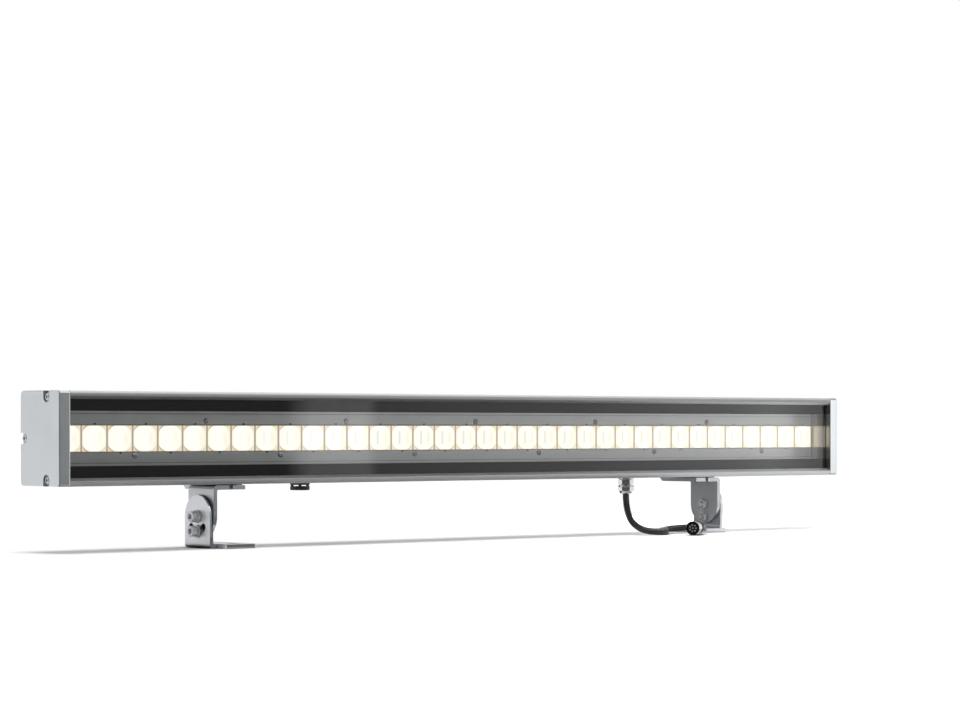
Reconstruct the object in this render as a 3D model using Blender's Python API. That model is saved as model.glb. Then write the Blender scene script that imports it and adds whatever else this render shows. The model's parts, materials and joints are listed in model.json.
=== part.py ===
# Linear LED floodlight: an extruded aluminium bar with a recessed glass, a row of
# square lenses, two tilting steel feet and a short pigtail with a round connector.
#
# Sizes are in millimetres; piece() turns them into metres. X runs along the bar,
# the glass faces -Y and Z is up. The origin is on the floor, midway between the
# feet and under their pivot bolts.

import math

import bmesh
import bpy
from mathutils import Vector

MM = 0.001
GAP = 0.3

# Housing profile, in the YZ plane about its own centre height
HOUSING_FRONT = -32.0
HOUSING_REAR = 32.0
HOUSING_HALF_HEIGHT = 42.5
HOUSING_CENTRE_Z = 101.6
REAR_CORNER_RADIUS = 4.0
FRONT_BEVEL_DEPTH = 1.5
FRONT_BEVEL_HEIGHT = 2.3
LIP_HALF_HEIGHT = 37.7
OPENING_HALF_HEIGHT = 35.1
CHAMBER_HALF_HEIGHT = 39.0
GLASS_SLOT_HALF_HEIGHT = 38.9
GLASS_SLOT_FRONT = -26.4
SEAL_SHOULDER_FRONT = -17.9
SEAL_SHOULDER_HALF_HEIGHT = 35.8
WEB_FRONT = 1.0
WEB_REAR = 4.0
REAR_WALL_INNER = 26.5
COOLING_GROOVES = 5
COOLING_GROOVE_FIRST = 11.0
COOLING_GROOVE_PITCH = 5.0
COOLING_GROOVE_WIDTH = 2.5
COOLING_GROOVE_DEPTH = 2.0

# Lenses and the length that follows from them
LENS_PITCH = 27.5
LENSES_PER_MODULE = 12
MODULES = 3
LENS_HALF_HEIGHT = 12.05
LENS_SEAM = 1.3
LENS_SIDE_DRAFT = 0.35
LENS_BACK = -0.8
LENS_SLAB_FRONT = -2.6
LENS_SHOULDER = -4.7
LENS_CROWN = -5.9
LENS_DOME_RADIUS = 11.6
ROW_HALF_LENGTH = LENS_PITCH * LENSES_PER_MODULE * MODULES / 2
PROFILE_HALF_LENGTH = ROW_HALF_LENGTH + 1.2
CAP_INNER = PROFILE_HALF_LENGTH + GAP
CAP_THICKNESS = 11.5
CAP_OUTER = CAP_INNER + CAP_THICKNESS
CAP_EDGE_BEVEL = 1.2

# Cap screws: places about the profile's centre, as (y, z, direction of the notch)
CAP_SCREWS = {
    "top": (-10.9, 36.9, (0, 1)),
    "bottom": (-10.9, -36.9, (0, -1)),
    "rear": (26.2, 0.0, (1, 0)),
}
CAP_SCREW_HOLE = 2.0
NOTCH_RADIUS = 5.0
NOTCH_DEPTH = 3.0

# Glass
GLASS_FRONT = -26.1
GLASS_THICKNESS = 4.0
GLASS_HALF_HEIGHT = 38.5

# Brackets: the joint plane lies between the upper plate and the foot plate
PLATE = 4.0
JOINT_PLANE = 333.5
PLATE_HALF_WIDTH = 20.1
PIVOT_Z = 29.0
LOCK_RADIUS = 13.5
BASE_HALF_WIDTH = 35.0
BRACKET_REACH = 38.0
BEND_RADIUS = 5.5
STEP_BEHIND_PLANE = 5.0
FLANGE_TOP = 57.9
FLANGE_REACH = 36.0
TILT_LIMIT = 45.0
ARC_HALF_WIDTH = 3.4
BOLT_RADIUS = 2.7
BOLT_HOLE_RADIUS = 3.3

# Cable gland, vent, cable and connector
GLAND_X = 212.5
VENT_X = -218.4
STEM_HEIGHT = 4.1
CABLE_DIAMETER = 6.8
CONNECTOR_FACE = Vector((227.8, -83.5, 7.4))
CONNECTOR_BEARING = 57.3
CONTACT_CIRCLE = 3.4
CONTACTS_ROUND = 7

# The pigtail's route, chosen by hand: down from the gland, along the floor
# towards the front, back beside itself, and round into the connector.
CABLE_ROUTE = [
    (212.5, 0.0, 46.0),
    (212.5, 0.0, 41.5),
    (212.2, -0.6, 36.0),
    (210.6, -3.0, 30.0),
    (207.2, -8.5, 22.8),
    (202.8, -16.9, 15.8),
    (199.8, -26.0, 10.6),
    (198.6, -35.3, 6.8),
    (200.4, -42.4, 4.6),
    (204.7, -48.0, 3.7),
    (211.3, -50.9, 3.5),
    (218.5, -50.5, 3.5),
    (225.3, -46.8, 3.5),
    (231.7, -40.5, 3.5),
    (238.0, -33.3, 3.6),
    (244.8, -26.0, 3.8),
    (252.0, -21.5, 4.2),
    (260.1, -20.9, 4.7),
    (267.9, -24.2, 5.2),
    (273.6, -30.6, 5.8),
    (276.5, -38.7, 6.3),
    (275.6, -47.4, 6.8),
    (271.6, -54.5, 7.1),
    (265.4, -59.4, 7.3),
    (258.7, -63.7, 7.4),
]
CABLE_POINTS = 42


def clear_scene():
    for obj in list(bpy.data.objects):
        bpy.data.objects.remove(obj, do_unlink=True)


def make_material(name, colour, roughness, metallic=0.0, glow=None):
    material = bpy.data.materials.new(name)
    material.use_nodes = True
    shader = material.node_tree.nodes["Principled BSDF"]
    shader.inputs["Base Color"].default_value = (*colour, 1.0)
    shader.inputs["Roughness"].default_value = roughness
    shader.inputs["Metallic"].default_value = metallic
    if glow:
        shader.inputs["Emission Color"].default_value = (*glow, 1.0)
        shader.inputs["Emission Strength"].default_value = 1.0
    material.diffuse_color = (*colour, 1.0)
    return material


def rounded(corners, steps=4):
    """Closed outline from (u, v, radius) corners, each radius turned into an arc."""
    points = []
    for index, corner in enumerate(corners):
        here = Vector(corner[:2])
        radius = corner[2] if len(corner) > 2 else 0.0
        if radius <= 0.0:
            points.append(here)
            continue
        back = (Vector(corners[index - 1][:2]) - here).normalized()
        ahead = (Vector(corners[(index + 1) % len(corners)][:2]) - here).normalized()
        half = back.angle(ahead) / 2
        centre = here + (back + ahead).normalized() * (radius / math.sin(half))
        first = here + back * (radius / math.tan(half)) - centre
        last = here + ahead * (radius / math.tan(half)) - centre
        sweep = math.atan2(first.x * last.y - first.y * last.x, first.dot(last))
        points.extend(centre + turn(first, sweep * step / steps) for step in range(steps + 1))
    return points


def turn(vector, angle):
    cosine, sine = math.cos(angle), math.sin(angle)
    return Vector((vector.x * cosine - vector.y * sine, vector.x * sine + vector.y * cosine))


def arc(centre, radius, start, end, steps):
    """Points on an arc; angles in degrees, anticlockwise from +u."""
    angles = [math.radians(start + (end - start) * step / steps) for step in range(steps + 1)]
    return [Vector((centre[0] + radius * math.cos(a), centre[1] + radius * math.sin(a))) for a in angles]


def circle(centre, radius, sides):
    return arc(centre, radius, 0.0, 360.0, sides)[:-1]


def prism(outline, axis, start, end, holes=()):
    """Solid with the outline as its cross-section, run along one axis."""
    order = {"X": (2, 0, 1), "Y": (0, 2, 1), "Z": (0, 1, 2)}[axis]
    loops = [outline, *holes]
    bm = bmesh.new()
    ends = []
    for along in (start, end):
        rings = []
        for loop in loops:
            rings.append([bm.verts.new([(u, v, along)[k] for k in order]) for u, v in loop])
        ends.append(rings)
    for near, far in zip(*ends):
        for index in range(len(near)):
            bm.faces.new((near[index - 1], near[index], far[index], far[index - 1]))
    for rings in ends:
        if holes:
            pairs = [(ring[index - 1], ring[index]) for ring in rings for index in range(len(ring))]
            bmesh.ops.triangle_fill(bm, use_beauty=True, edges=[bm.edges.get(pair) for pair in pairs])
        else:
            bm.faces.new(rings[0])
    bmesh.ops.recalc_face_normals(bm, faces=bm.faces)
    return bm


def turned(profile, sides, axis=(0, 0, 1), base=(0, 0, 0)):
    """Solid of revolution from (radius, height) points, its axis set along a direction."""
    bm = bmesh.new()
    verts = [bm.verts.new((radius, 0, height)) for radius, height in profile]
    edges = [bm.edges.new(pair) for pair in zip(verts, verts[1:])]
    if all(radius > 0 for radius, _ in profile):
        edges.append(bm.edges.new((verts[-1], verts[0])))
    bmesh.ops.spin(
        bm, geom=verts + edges, cent=(0, 0, 0), axis=(0, 0, 1), dvec=(0, 0, 0),
        angle=2 * math.pi, steps=sides, use_merge=True,
    )
    bmesh.ops.remove_doubles(bm, verts=bm.verts, dist=1e-4)
    bmesh.ops.recalc_face_normals(bm, faces=bm.faces)
    return aimed(bm, axis, base)


def aimed(bm, axis, base):
    """Turns a solid built along +Z onto an axis and sets it at a base point."""
    matrix = Vector(axis).to_track_quat("Z", "Y").to_matrix().to_4x4()
    matrix.translation = Vector(base)
    bmesh.ops.transform(bm, matrix=matrix, verts=bm.verts)
    return bm


def merged(solids):
    """Puts solids that don't touch into one mesh, for use as a single cutter."""
    whole = bmesh.new()
    for solid in solids:
        mesh = bpy.data.meshes.new("part")
        solid.to_mesh(mesh)
        solid.free()
        whole.from_mesh(mesh)
        bpy.data.meshes.remove(mesh)
    return whole


def box(low, high):
    outline = [(low[0], low[1]), (high[0], low[1]), (high[0], high[1]), (low[0], high[1])]
    return prism(outline, "Z", low[2], high[2])


def piece(name, bm, material, pivot=(0, 0, 0)):
    """Turns a solid in millimetres into a named object with its origin at the pivot."""
    bmesh.ops.translate(bm, verts=bm.verts, vec=-Vector(pivot))
    bmesh.ops.scale(bm, verts=bm.verts, vec=(MM, MM, MM))
    mesh = bpy.data.meshes.new(name)
    bm.to_mesh(mesh)
    bm.free()
    mesh.shade_smooth()
    mesh.set_sharp_from_angle(angle=math.radians(35))
    obj = bpy.data.objects.new(name, mesh)
    obj.location = Vector(pivot) * MM
    if material:
        mesh.materials.append(material)
    bpy.context.scene.collection.objects.link(obj)
    return obj


def combine(obj, operation, bm):
    """Cuts or adds a solid, given in world millimetres, with a live Boolean."""
    count = len(obj.modifiers) + 1
    tool = piece(f"{obj.name}_{operation.lower()}_{count}", bm, None)
    tool.hide_render = True
    tool.display_type = "WIRE"
    modifier = obj.modifiers.new(f"{operation.title()} {count}", "BOOLEAN")
    modifier.operation = operation
    modifier.solver = "EXACT"
    modifier.object = tool


def cut(obj, bm):
    combine(obj, "DIFFERENCE", bm)


def join(obj, bm):
    combine(obj, "UNION", bm)


def lifted(points):
    """Moves profile points from the housing's own centre height to world height."""
    return [(u, v + HOUSING_CENTRE_Z, *rest) for u, v, *rest in points]


def mirrored_halves(upper):
    """Closes a profile that is the same above and below its centre line."""
    lower = [(u, -v, *rest) for u, v, *rest in reversed(upper)]
    return upper + lower


def housing_outline():
    rear = []
    for groove in range(COOLING_GROOVES):
        low = COOLING_GROOVE_FIRST + groove * COOLING_GROOVE_PITCH
        floor = HOUSING_REAR - COOLING_GROOVE_DEPTH
        high = low + COOLING_GROOVE_WIDTH
        rear += [(HOUSING_REAR, low), (floor, low), (floor, high), (HOUSING_REAR, high)]
    port_y, port_z, _ = CAP_SCREWS["top"]
    boss = 4.5
    upper = rear + [
        (HOUSING_REAR, HOUSING_HALF_HEIGHT, REAR_CORNER_RADIUS),
        (HOUSING_FRONT + FRONT_BEVEL_DEPTH, HOUSING_HALF_HEIGHT),
        (HOUSING_FRONT, HOUSING_HALF_HEIGHT - FRONT_BEVEL_HEIGHT),
        (HOUSING_FRONT, LIP_HALF_HEIGHT),
        (GLASS_SLOT_FRONT, OPENING_HALF_HEIGHT),
        (GLASS_SLOT_FRONT, GLASS_SLOT_HALF_HEIGHT),
        (SEAL_SHOULDER_FRONT, GLASS_SLOT_HALF_HEIGHT),
        (SEAL_SHOULDER_FRONT, SEAL_SHOULDER_HALF_HEIGHT),
        (port_y - boss, SEAL_SHOULDER_HALF_HEIGHT),
        (port_y - boss, port_z - boss + 0.8, 1.5),
        (port_y + boss, port_z - boss + 0.8, 1.5),
        (port_y + boss, CHAMBER_HALF_HEIGHT, 1.0),
        (WEB_FRONT, CHAMBER_HALF_HEIGHT, 1.5),
    ]
    return rounded(lifted(mirrored_halves(upper)), 3)


def housing():
    boss = 4.2
    rear_port = CAP_SCREWS["rear"][0]
    chamber = mirrored_halves([
        (rear_port - boss, boss, 1.2),
        (REAR_WALL_INNER, boss),
        (REAR_WALL_INNER, CHAMBER_HALF_HEIGHT, 2.0),
        (WEB_REAR, CHAMBER_HALF_HEIGHT, 2.0),
    ])
    holes = [rounded(lifted(chamber), 3)]
    for y, z, _ in CAP_SCREWS.values():
        holes.append(circle((y, z + HOUSING_CENTRE_Z), CAP_SCREW_HOLE, 12))
    body = prism(housing_outline(), "X", -PROFILE_HALF_LENGTH, PROFILE_HALF_LENGTH, holes)
    obj = piece("housing_extrusion", body, aluminium)
    thread_hole = 6.3
    drilled = [
        turned([(0, 56), (thread_hole, 56), (thread_hole, 70), (0, 70)], 18, base=(x, 0, 0))
        for x in (GLAND_X, VENT_X)
    ]
    screw_hole = 2.1
    for x, y in flange_screw_places():
        drilled.append(turned([(0, 56), (screw_hole, 56), (screw_hole, 65.5), (0, 65.5)], 12, base=(x, y, 0)))
    cut(obj, merged(drilled))


def cap_outline(inset=0.0):
    upper = [
        (HOUSING_REAR - inset, HOUSING_HALF_HEIGHT - inset, REAR_CORNER_RADIUS),
        (HOUSING_FRONT + FRONT_BEVEL_DEPTH, HOUSING_HALF_HEIGHT - inset),
        (HOUSING_FRONT + inset, HOUSING_HALF_HEIGHT - FRONT_BEVEL_HEIGHT),
    ]
    return rounded(lifted(mirrored_halves(upper)), 3)


def gasket_loop(grow):
    """Ring along the profile's walls and across the glass end; grow widens it."""
    front, rear, half, width = -25.4, 30.2, 40.8, 1.1
    loops = []
    for inset in (-grow, width + grow):
        corners = mirrored_halves([(rear - inset, half - inset, 2.5), (front + inset, half - inset, 1.5)])
        loops.append(rounded(lifted(corners), 3))
    return loops


def end_cap(side, label):
    slab = prism(cap_outline(), "X", side * CAP_INNER, side * CAP_OUTER)
    rim = [edge for edge in slab.edges if all(abs(abs(v.co.x) - CAP_OUTER) < 0.01 for v in edge.verts)]
    bmesh.ops.bevel(slab, geom=rim, offset=CAP_EDGE_BEVEL, segments=2, profile=0.6, affect="EDGES")
    obj = piece(f"{label}_end_cap", slab, cap_metal)
    notches = []
    bores = []
    bore_ends = side * (CAP_INNER - 1), side * (CAP_OUTER - 1)
    for y, z, (out_y, out_z) in CAP_SCREWS.values():
        across = Vector((-out_z, out_y)) * NOTCH_RADIUS
        centre = Vector((y, z + HOUSING_CENTRE_Z))
        start = math.degrees(math.atan2(across.y, across.x))
        beyond = Vector((out_y, out_z)) * 14.0
        shape = arc(centre, NOTCH_RADIUS, start, start + 180.0, 8)
        shape += [centre - across + beyond, centre + across + beyond]
        notches.append(prism(shape, "X", side * (CAP_OUTER - NOTCH_DEPTH), side * (CAP_OUTER + 1)))
        bores.append(prism(circle(centre, CAP_SCREW_HOLE, 12), "X", *bore_ends))
    cut(obj, merged(notches))
    cut(obj, merged(bores))
    outer, inner = gasket_loop(0.2)
    cut(obj, prism(outer, "X", side * (CAP_INNER - 1), side * (CAP_INNER + 1.4), [inner]))
    outer, inner = gasket_loop(0.0)
    gasket = prism(outer, "X", side * CAP_INNER, side * (CAP_INNER + 1.1), [inner])
    piece(f"{label}_cap_gasket", gasket, rubber)
    for place, (y, z, _) in CAP_SCREWS.items():
        cap_screw(f"{label}_cap_screw_{place}", side, y, z + HOUSING_CENTRE_Z)


def cap_screw(name, side, y, z):
    """Button-head screw with a six-sided socket, its head down in the notch."""
    seat = CAP_OUTER - NOTCH_DEPTH + GAP
    head_radius, head_height, shank = 3.8, 2.3, 1.65
    profile = [
        (0, -22), (shank, -22), (shank, 0), (head_radius, 0), (head_radius, 0.8),
        (2.1, head_height), (0, head_height),
    ]
    obj = piece(name, turned(profile, 12, (side, 0, 0), (side * seat, y, z)), stainless)
    socket = prism(circle((0, 0), 1.35, 6), "Z", head_height - 1.4, head_height + 1)
    cut(obj, aimed(socket, (side, 0, 0), (side * seat, y, z)))


def glass_and_seals():
    arris = 0.4
    half_length = ROW_HALF_LENGTH + 0.9
    front, rear = GLASS_FRONT, GLASS_FRONT + GLASS_THICKNESS
    section = mirrored_halves([
        (rear, GLASS_HALF_HEIGHT - arris), (rear - arris, GLASS_HALF_HEIGHT),
        (front + arris, GLASS_HALF_HEIGHT), (front, GLASS_HALF_HEIGHT - arris),
    ])
    piece("front_glass", prism(rounded(lifted(section)), "X", -half_length, half_length), glass)
    seal_front, seal_rear = rear + GAP, SEAL_SHOULDER_FRONT - GAP
    for label, sign in (("upper", 1), ("lower", -1)):
        low, high = sign * 36.3, sign * (GLASS_SLOT_HALF_HEIGHT - GAP)
        waist = sign * 0.5
        middle = (seal_front + seal_rear) / 2
        corners = [
            (seal_front, low), (middle, low + waist), (seal_rear, low),
            (seal_rear, high), (middle, high - waist), (seal_front, high),
        ]
        piece(f"{label}_glass_seal", prism(rounded(lifted(corners)), "X", -half_length, half_length), rubber)


def cover_strips():
    """Satin sheets that frame the lens row, each with a hemmed inner edge."""
    front, sheet, hem = -3.4, 1.2, 2.6
    half_length = ROW_HALF_LENGTH + 0.8
    for label, sign in (("upper", 1), ("lower", -1)):
        inner, outer = LENS_HALF_HEIGHT + 0.5, CHAMBER_HALF_HEIGHT - 0.8
        corners = [
            (front, sign * inner, 0.5), (front, sign * outer), (front + sheet, sign * outer),
            (front + sheet, sign * (inner + 1.2)), (front + hem, sign * (inner + 1.2)),
            (front + hem, sign * inner),
        ]
        strip = prism(rounded(lifted(corners), 2), "X", -half_length, half_length)
        piece(f"{label}_cover_strip", strip, strip_metal)


def module_centres(module):
    """Lens centres along X in one module."""
    first = -ROW_HALF_LENGTH + module * LENSES_PER_MODULE * LENS_PITCH
    return [first + (index + 0.5) * LENS_PITCH for index in range(LENSES_PER_MODULE)]


def lens_module(module):
    """One moulding of twelve square lenses, each a block with a round dome on it."""
    centres = module_centres(module)
    half = LENS_PITCH / 2
    end_gap = 0.2
    outline = [(centres[0] - half + end_gap, LENS_BACK)]
    for index, centre in enumerate(centres):
        left = centre - half + LENS_SEAM / 2
        right = centre + half - LENS_SEAM / 2
        if index == 0:
            outline.append((centre - half + end_gap, LENS_SLAB_FRONT))
        outline += [
            (left, LENS_SLAB_FRONT), (left + LENS_SIDE_DRAFT, LENS_SHOULDER),
            (right - LENS_SIDE_DRAFT, LENS_SHOULDER), (right, LENS_SLAB_FRONT),
        ]
    outline += [(centres[-1] + half - end_gap, LENS_SLAB_FRONT), (centres[-1] + half - end_gap, LENS_BACK)]
    low, high = HOUSING_CENTRE_Z - LENS_HALF_HEIGHT, HOUSING_CENTRE_Z + LENS_HALF_HEIGHT
    obj = piece(f"lens_module_{module + 1}", prism(outline, "Z", low, high), lens_clear)
    rise = LENS_SHOULDER - LENS_CROWN
    radius = LENS_DOME_RADIUS
    dome = [(0, -0.6), (radius + 0.3, -0.6), (radius * 0.8, rise * 0.8), (0, rise)]
    join(obj, merged([turned(dome, 12, (0, -1, 0), (x, LENS_SHOULDER, HOUSING_CENTRE_Z)) for x in centres]))
    pocket = 2.6
    mid = HOUSING_CENTRE_Z
    cut(obj, merged([
        box((x - pocket, LENS_BACK - 1.0, mid - pocket), (x + pocket, 0, mid + pocket)) for x in centres
    ]))


def led_board(module):
    centres = module_centres(module)
    half = LENS_PITCH / 2
    front, rear = LENS_BACK + GAP, WEB_FRONT - GAP
    mid = HOUSING_CENTRE_Z
    board = box((centres[0] - half + 0.4, front, mid - 11.5), (centres[-1] + half - 0.4, rear, mid + 11.5))
    obj = piece(f"led_board_{module + 1}", board, board_white)
    package = 1.75
    join(obj, merged([
        box((x - package, front - 0.6, mid - package), (x + package, front + 0.4, mid + package))
        for x in centres
    ]))


def electronics():
    rear = WEB_REAR + GAP
    mid = HOUSING_CENTRE_Z
    case = rounded([(rear, mid + 8, 1), (rear, mid + 36, 1), (20, mid + 36, 2.5), (20, mid + 8, 2.5)], 3)
    obj = piece("led_driver", prism(case, "X", -330, -60), driver_metal)
    join(obj, merged([box((x, rear + 0.2, mid + 12), (x + 14, rear + 2.2, mid + 32)) for x in (-342, -62)]))
    board = box((60, rear, mid - 32), (190, rear + 1.6, mid - 6))
    obj = piece("control_board", board, board_green)
    parts = [(68, 18, 9, 16), (94, 12, 3, 12), (116, 10, 6, 8), (134, 8, 8, 8), (158, 24, 11, 18)]
    join(obj, merged([
        box((x, rear + 1.2, mid - 28), (x + wide, rear + 1.6 + tall, mid - 28 + high))
        for x, wide, tall, high in parts
    ]))


def plate_surround(upward, open_end):
    """Everything beside and beyond a plate that ends in a half circle about the pivot."""
    far = 50.0
    beyond = PIVOT_Z + upward * far
    half = PLATE_HALF_WIDTH
    sweep = arc((0, PIVOT_Z), half, 0.0, upward * 180.0, 18)
    left_side = [(-half, open_end), (-far, open_end), (-far, beyond)]
    right_side = [(far, beyond), (far, open_end), (half, open_end)]
    return sweep + left_side + right_side


def folded(side, corners, low_y, high_y):
    """Folded sheet: an outline in distance from the middle and height, run along Y."""
    outline = [(side * x, z) for x, z in rounded(corners, 4)]
    return prism(outline, "Y", low_y, high_y)


def foot_bracket(side, label):
    outer = JOINT_PLANE + GAP + PLATE
    inner_end = JOINT_PLANE - BRACKET_REACH
    profile = [
        (inner_end, 0), (outer, 0, BEND_RADIUS), (outer, 52), (outer - PLATE, 52),
        (outer - PLATE, PLATE, BEND_RADIUS - PLATE), (inner_end, PLATE),
    ]
    solid = folded(side, profile, -BASE_HALF_WIDTH, BASE_HALF_WIDTH)
    obj = piece(f"{label}_foot_bracket", solid, plated_steel, (side * outer, 0, PIVOT_Z))
    step = JOINT_PLANE - STEP_BEHIND_PLANE
    cut(obj, prism(plate_surround(1, -1.0), "X", side * step, side * (outer + 1)))
    pivot_hole = circle((0, PIVOT_Z), BOLT_HOLE_RADIUS, 14)
    cut(obj, merged([
        prism(pivot_hole, "X", side * (outer - PLATE - 1), side * (outer + 1)),
        prism(arc_slot(), "X", side * (outer - PLATE - 1), side * (outer + 1)),
    ]))
    slots = []
    for sign in (-1, 1):
        slot = rounded([
            (side * 306.5, sign * 11.5, 4.4), (side * 315.5, sign * 11.5, 4.4),
            (side * 315.5, sign * 29.0, 4.4), (side * 306.5, sign * 29.0, 4.4),
        ], 4)
        slots.append(prism(slot, "Z", -1, PLATE + 1))
    cut(obj, merged(slots))
    cut(obj, merged(corner_rounders(side, inner_end, step)))


def corner_rounders(side, inner_end, step):
    """Takes the sharp corners off the wide part of a foot."""
    radius = 3.0
    for x, towards in ((inner_end, 1), (step, -1)):
        for sign in (-1, 1):
            corner = Vector((side * x, sign * BASE_HALF_WIDTH))
            centre = corner + Vector((side * towards, -sign)) * radius
            first = corner - Vector((0, sign * radius)) - centre
            last = corner + Vector((side * towards * radius, 0)) - centre
            sweep = math.atan2(first.x * last.y - first.y * last.x, first.dot(last))
            bow = [centre + turn(first, sweep * k / 4) for k in range(5)]
            outside = corner - Vector((side * towards, -sign))
            bow += [Vector((bow[-1].x, outside.y)), outside, Vector((outside.x, bow[0].y))]
            yield prism(bow, "Z", -1, PLATE + 1)


def arc_slot():
    """Curved slot below the pivot that the lock bolt runs in."""
    centre = Vector((0, PIVOT_Z))
    start, end = -90.0 - TILT_LIMIT, -90.0 + TILT_LIMIT
    first = arc(centre, LOCK_RADIUS, start, end, 1)
    outer = arc(centre, LOCK_RADIUS + ARC_HALF_WIDTH, start, end, 8)
    inner = arc(centre, LOCK_RADIUS - ARC_HALF_WIDTH, end, start, 8)
    right_end = arc(first[1], ARC_HALF_WIDTH, end, end + 180.0, 6)[1:-1]
    left_end = arc(first[0], ARC_HALF_WIDTH, start + 180.0, start + 360.0, 6)[1:-1]
    return outer + right_end + inner + left_end


def flange_screw_places():
    """Two screws a side, behind the open slot and clear of the web and the rear wall."""
    return [(side * 311.0, y) for side in (-1, 1) for y in (9.0, 22.0)]


def upper_bracket(side, label):
    inner_end = JOINT_PLANE - FLANGE_REACH
    bottom = FLANGE_TOP - PLATE
    profile = [
        (JOINT_PLANE, 6), (JOINT_PLANE, FLANGE_TOP, BEND_RADIUS), (inner_end, FLANGE_TOP),
        (inner_end, bottom), (JOINT_PLANE - PLATE, bottom, BEND_RADIUS - PLATE), (JOINT_PLANE - PLATE, 6),
    ]
    solid = folded(side, profile, -PLATE_HALF_WIDTH, BASE_HALF_WIDTH)
    obj = piece(f"{label}_upper_bracket", solid, plated_steel)
    step = JOINT_PLANE - STEP_BEHIND_PLANE
    cut(obj, prism(plate_surround(-1, 60.0), "X", side * step, side * (JOINT_PLANE + 1)))
    through = side * (JOINT_PLANE - PLATE - 1), side * (JOINT_PLANE + 1)
    cut(obj, merged([
        prism(circle((0, z), BOLT_HOLE_RADIUS, 14), "X", *through) for z in (PIVOT_Z, PIVOT_Z - LOCK_RADIUS)
    ]))
    bevel = 3.2
    wedge = [
        (BASE_HALF_WIDTH - bevel, bottom - 0.1), (BASE_HALF_WIDTH + 1, bottom - 0.1),
        (BASE_HALF_WIDTH + 1, bottom + bevel + 1),
    ]
    cut(obj, prism(wedge, "X", side * (inner_end - 1), side * (step + 1)))
    slot_centre, slot_half, slot_end = 313.5, 2.0, -6.0
    slot = arc((side * slot_centre, slot_end - slot_half), slot_half, 0.0, 180.0, 6)
    slot += [(side * slot_centre - slot_half, -24.0), (side * slot_centre + slot_half, -24.0)]
    cut(obj, prism(slot, "Z", bottom - 1, FLANGE_TOP + 1))
    countersink = [(0, bottom - 1), (4.4, bottom - 1), (4.4, bottom), (2.3, bottom + 2.3), (2.3, 60), (0, 60)]
    places = [place for place in flange_screw_places() if place[0] * side > 0]
    cut(obj, merged([turned(countersink, 12, base=(x, y, 0)) for x, y in places]))
    pad_corners = [
        (side * (inner_end + 1.5), -18.5, 2), (side * (step - 0.5), -18.5, 2),
        (side * (step - 0.5), 31.0, 2), (side * (inner_end + 1.5), 31.0, 2),
    ]
    pad_holes = [circle(place, 2.4, 12) for place in places]
    pad = prism(rounded(pad_corners, 3), "Z", FLANGE_TOP + GAP, FLANGE_TOP + GAP + 0.6, pad_holes)
    piece(f"{label}_bracket_pad", pad, rubber)
    for number, (x, y) in enumerate(places):
        flange_screw(f"{label}_flange_screw_{number + 1}", x, y, bottom)


def flange_screw(name, x, y, bottom):
    """Countersunk screw driven up through the flange into the housing."""
    profile = [(0, 0.1), (4.0, 0.1), (4.0, 0.4), (1.8, 2.6), (1.8, 11.0), (0, 11.0)]
    obj = piece(name, turned(profile, 12, base=(x, y, bottom)), stainless)
    socket = prism(circle((x, y), 1.4, 6), "Z", bottom - 1, bottom + 1.4)
    cut(obj, socket)


def bolt_set(side, label, kind, z):
    """Socket-head bolt, washer and nut through both plates."""
    outward = (side, 0, 0)
    washer_at = JOINT_PLANE + GAP + PLATE + GAP
    washer_thickness, washer_radius = 1.6, 6.0
    washer = [
        (BOLT_HOLE_RADIUS, 0), (washer_radius, 0), (washer_radius, washer_thickness),
        (BOLT_HOLE_RADIUS, washer_thickness),
    ]
    piece(f"{label}_{kind}_washer", turned(washer, 16, outward, (side * washer_at, 0, z)), stainless)
    head_at = washer_at + washer_thickness + GAP
    head_radius, head_height, length = 5.0, 6.0, 17.5
    edge = 0.6
    profile = [
        (0, -length), (BOLT_RADIUS - edge, -length), (BOLT_RADIUS, edge - length), (BOLT_RADIUS, 0),
        (head_radius, 0), (head_radius, head_height - edge), (head_radius - edge, head_height),
        (0, head_height),
    ]
    obj = piece(f"{label}_{kind}_bolt", turned(profile, 16, outward, (side * head_at, 0, z)), stainless)
    socket = prism(circle((0, 0), 2.9, 6), "Z", head_height - 3.2, head_height + 1)
    cut(obj, aimed(socket, outward, (side * head_at, 0, z)))
    nut_at = JOINT_PLANE - PLATE - GAP
    nut_height = 5.0
    nut = nut_blank(5.77, nut_height, 5.2)
    obj = piece(f"{label}_{kind}_nut", aimed(nut, (-side, 0, 0), (side * nut_at, 0, z)), stainless)
    bore = prism(circle((0, 0), 3.0, 12), "Z", -1, nut_height + 1)
    cut(obj, aimed(bore, (-side, 0, 0), (side * nut_at, 0, z)))


def nut_blank(corner_radius, height, face_radius):
    """Six-sided blank whose corners are chamfered at the top."""
    bm = prism(circle((0, 0), corner_radius, 6), "Z", 0, height)
    top = [edge for edge in bm.edges if all(v.co.z > height - 0.01 for v in edge.verts)]
    bmesh.ops.bevel(bm, geom=top, offset=corner_radius - face_radius, segments=1, affect="EDGES")
    return bm


def vent():
    """Pressure vent: flange, four posts and a cap, with air gaps between the posts."""
    top = HOUSING_CENTRE_Z - HOUSING_HALF_HEIGHT - GAP
    flange, cap, core, stem = 9.4, 9.4, 1.5, 5.9
    profile = [
        (0, STEM_HEIGHT), (stem, STEM_HEIGHT), (stem, 0), (flange, 0), (flange, -1.6), (core, -1.6),
        (core, -3.1), (cap, -3.1), (cap, -5.2), (cap - 0.9, -6.4), (0, -6.4),
    ]
    obj = piece("vent_plug", turned(profile, 18, base=(VENT_X, 0, top)), black_plastic)
    posts = []
    for quarter in range(4):
        bearing = math.radians(37.0 + 90.0 * quarter)
        post = box((-1.4, 6.0, -3.3), (1.4, 8.6, -1.4))
        for vert in post.verts:
            flat = turn(Vector(vert.co.xy), -bearing)
            vert.co = (flat.x + VENT_X, flat.y, vert.co.z + top)
        posts.append(post)
    join(obj, merged(posts))


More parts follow.
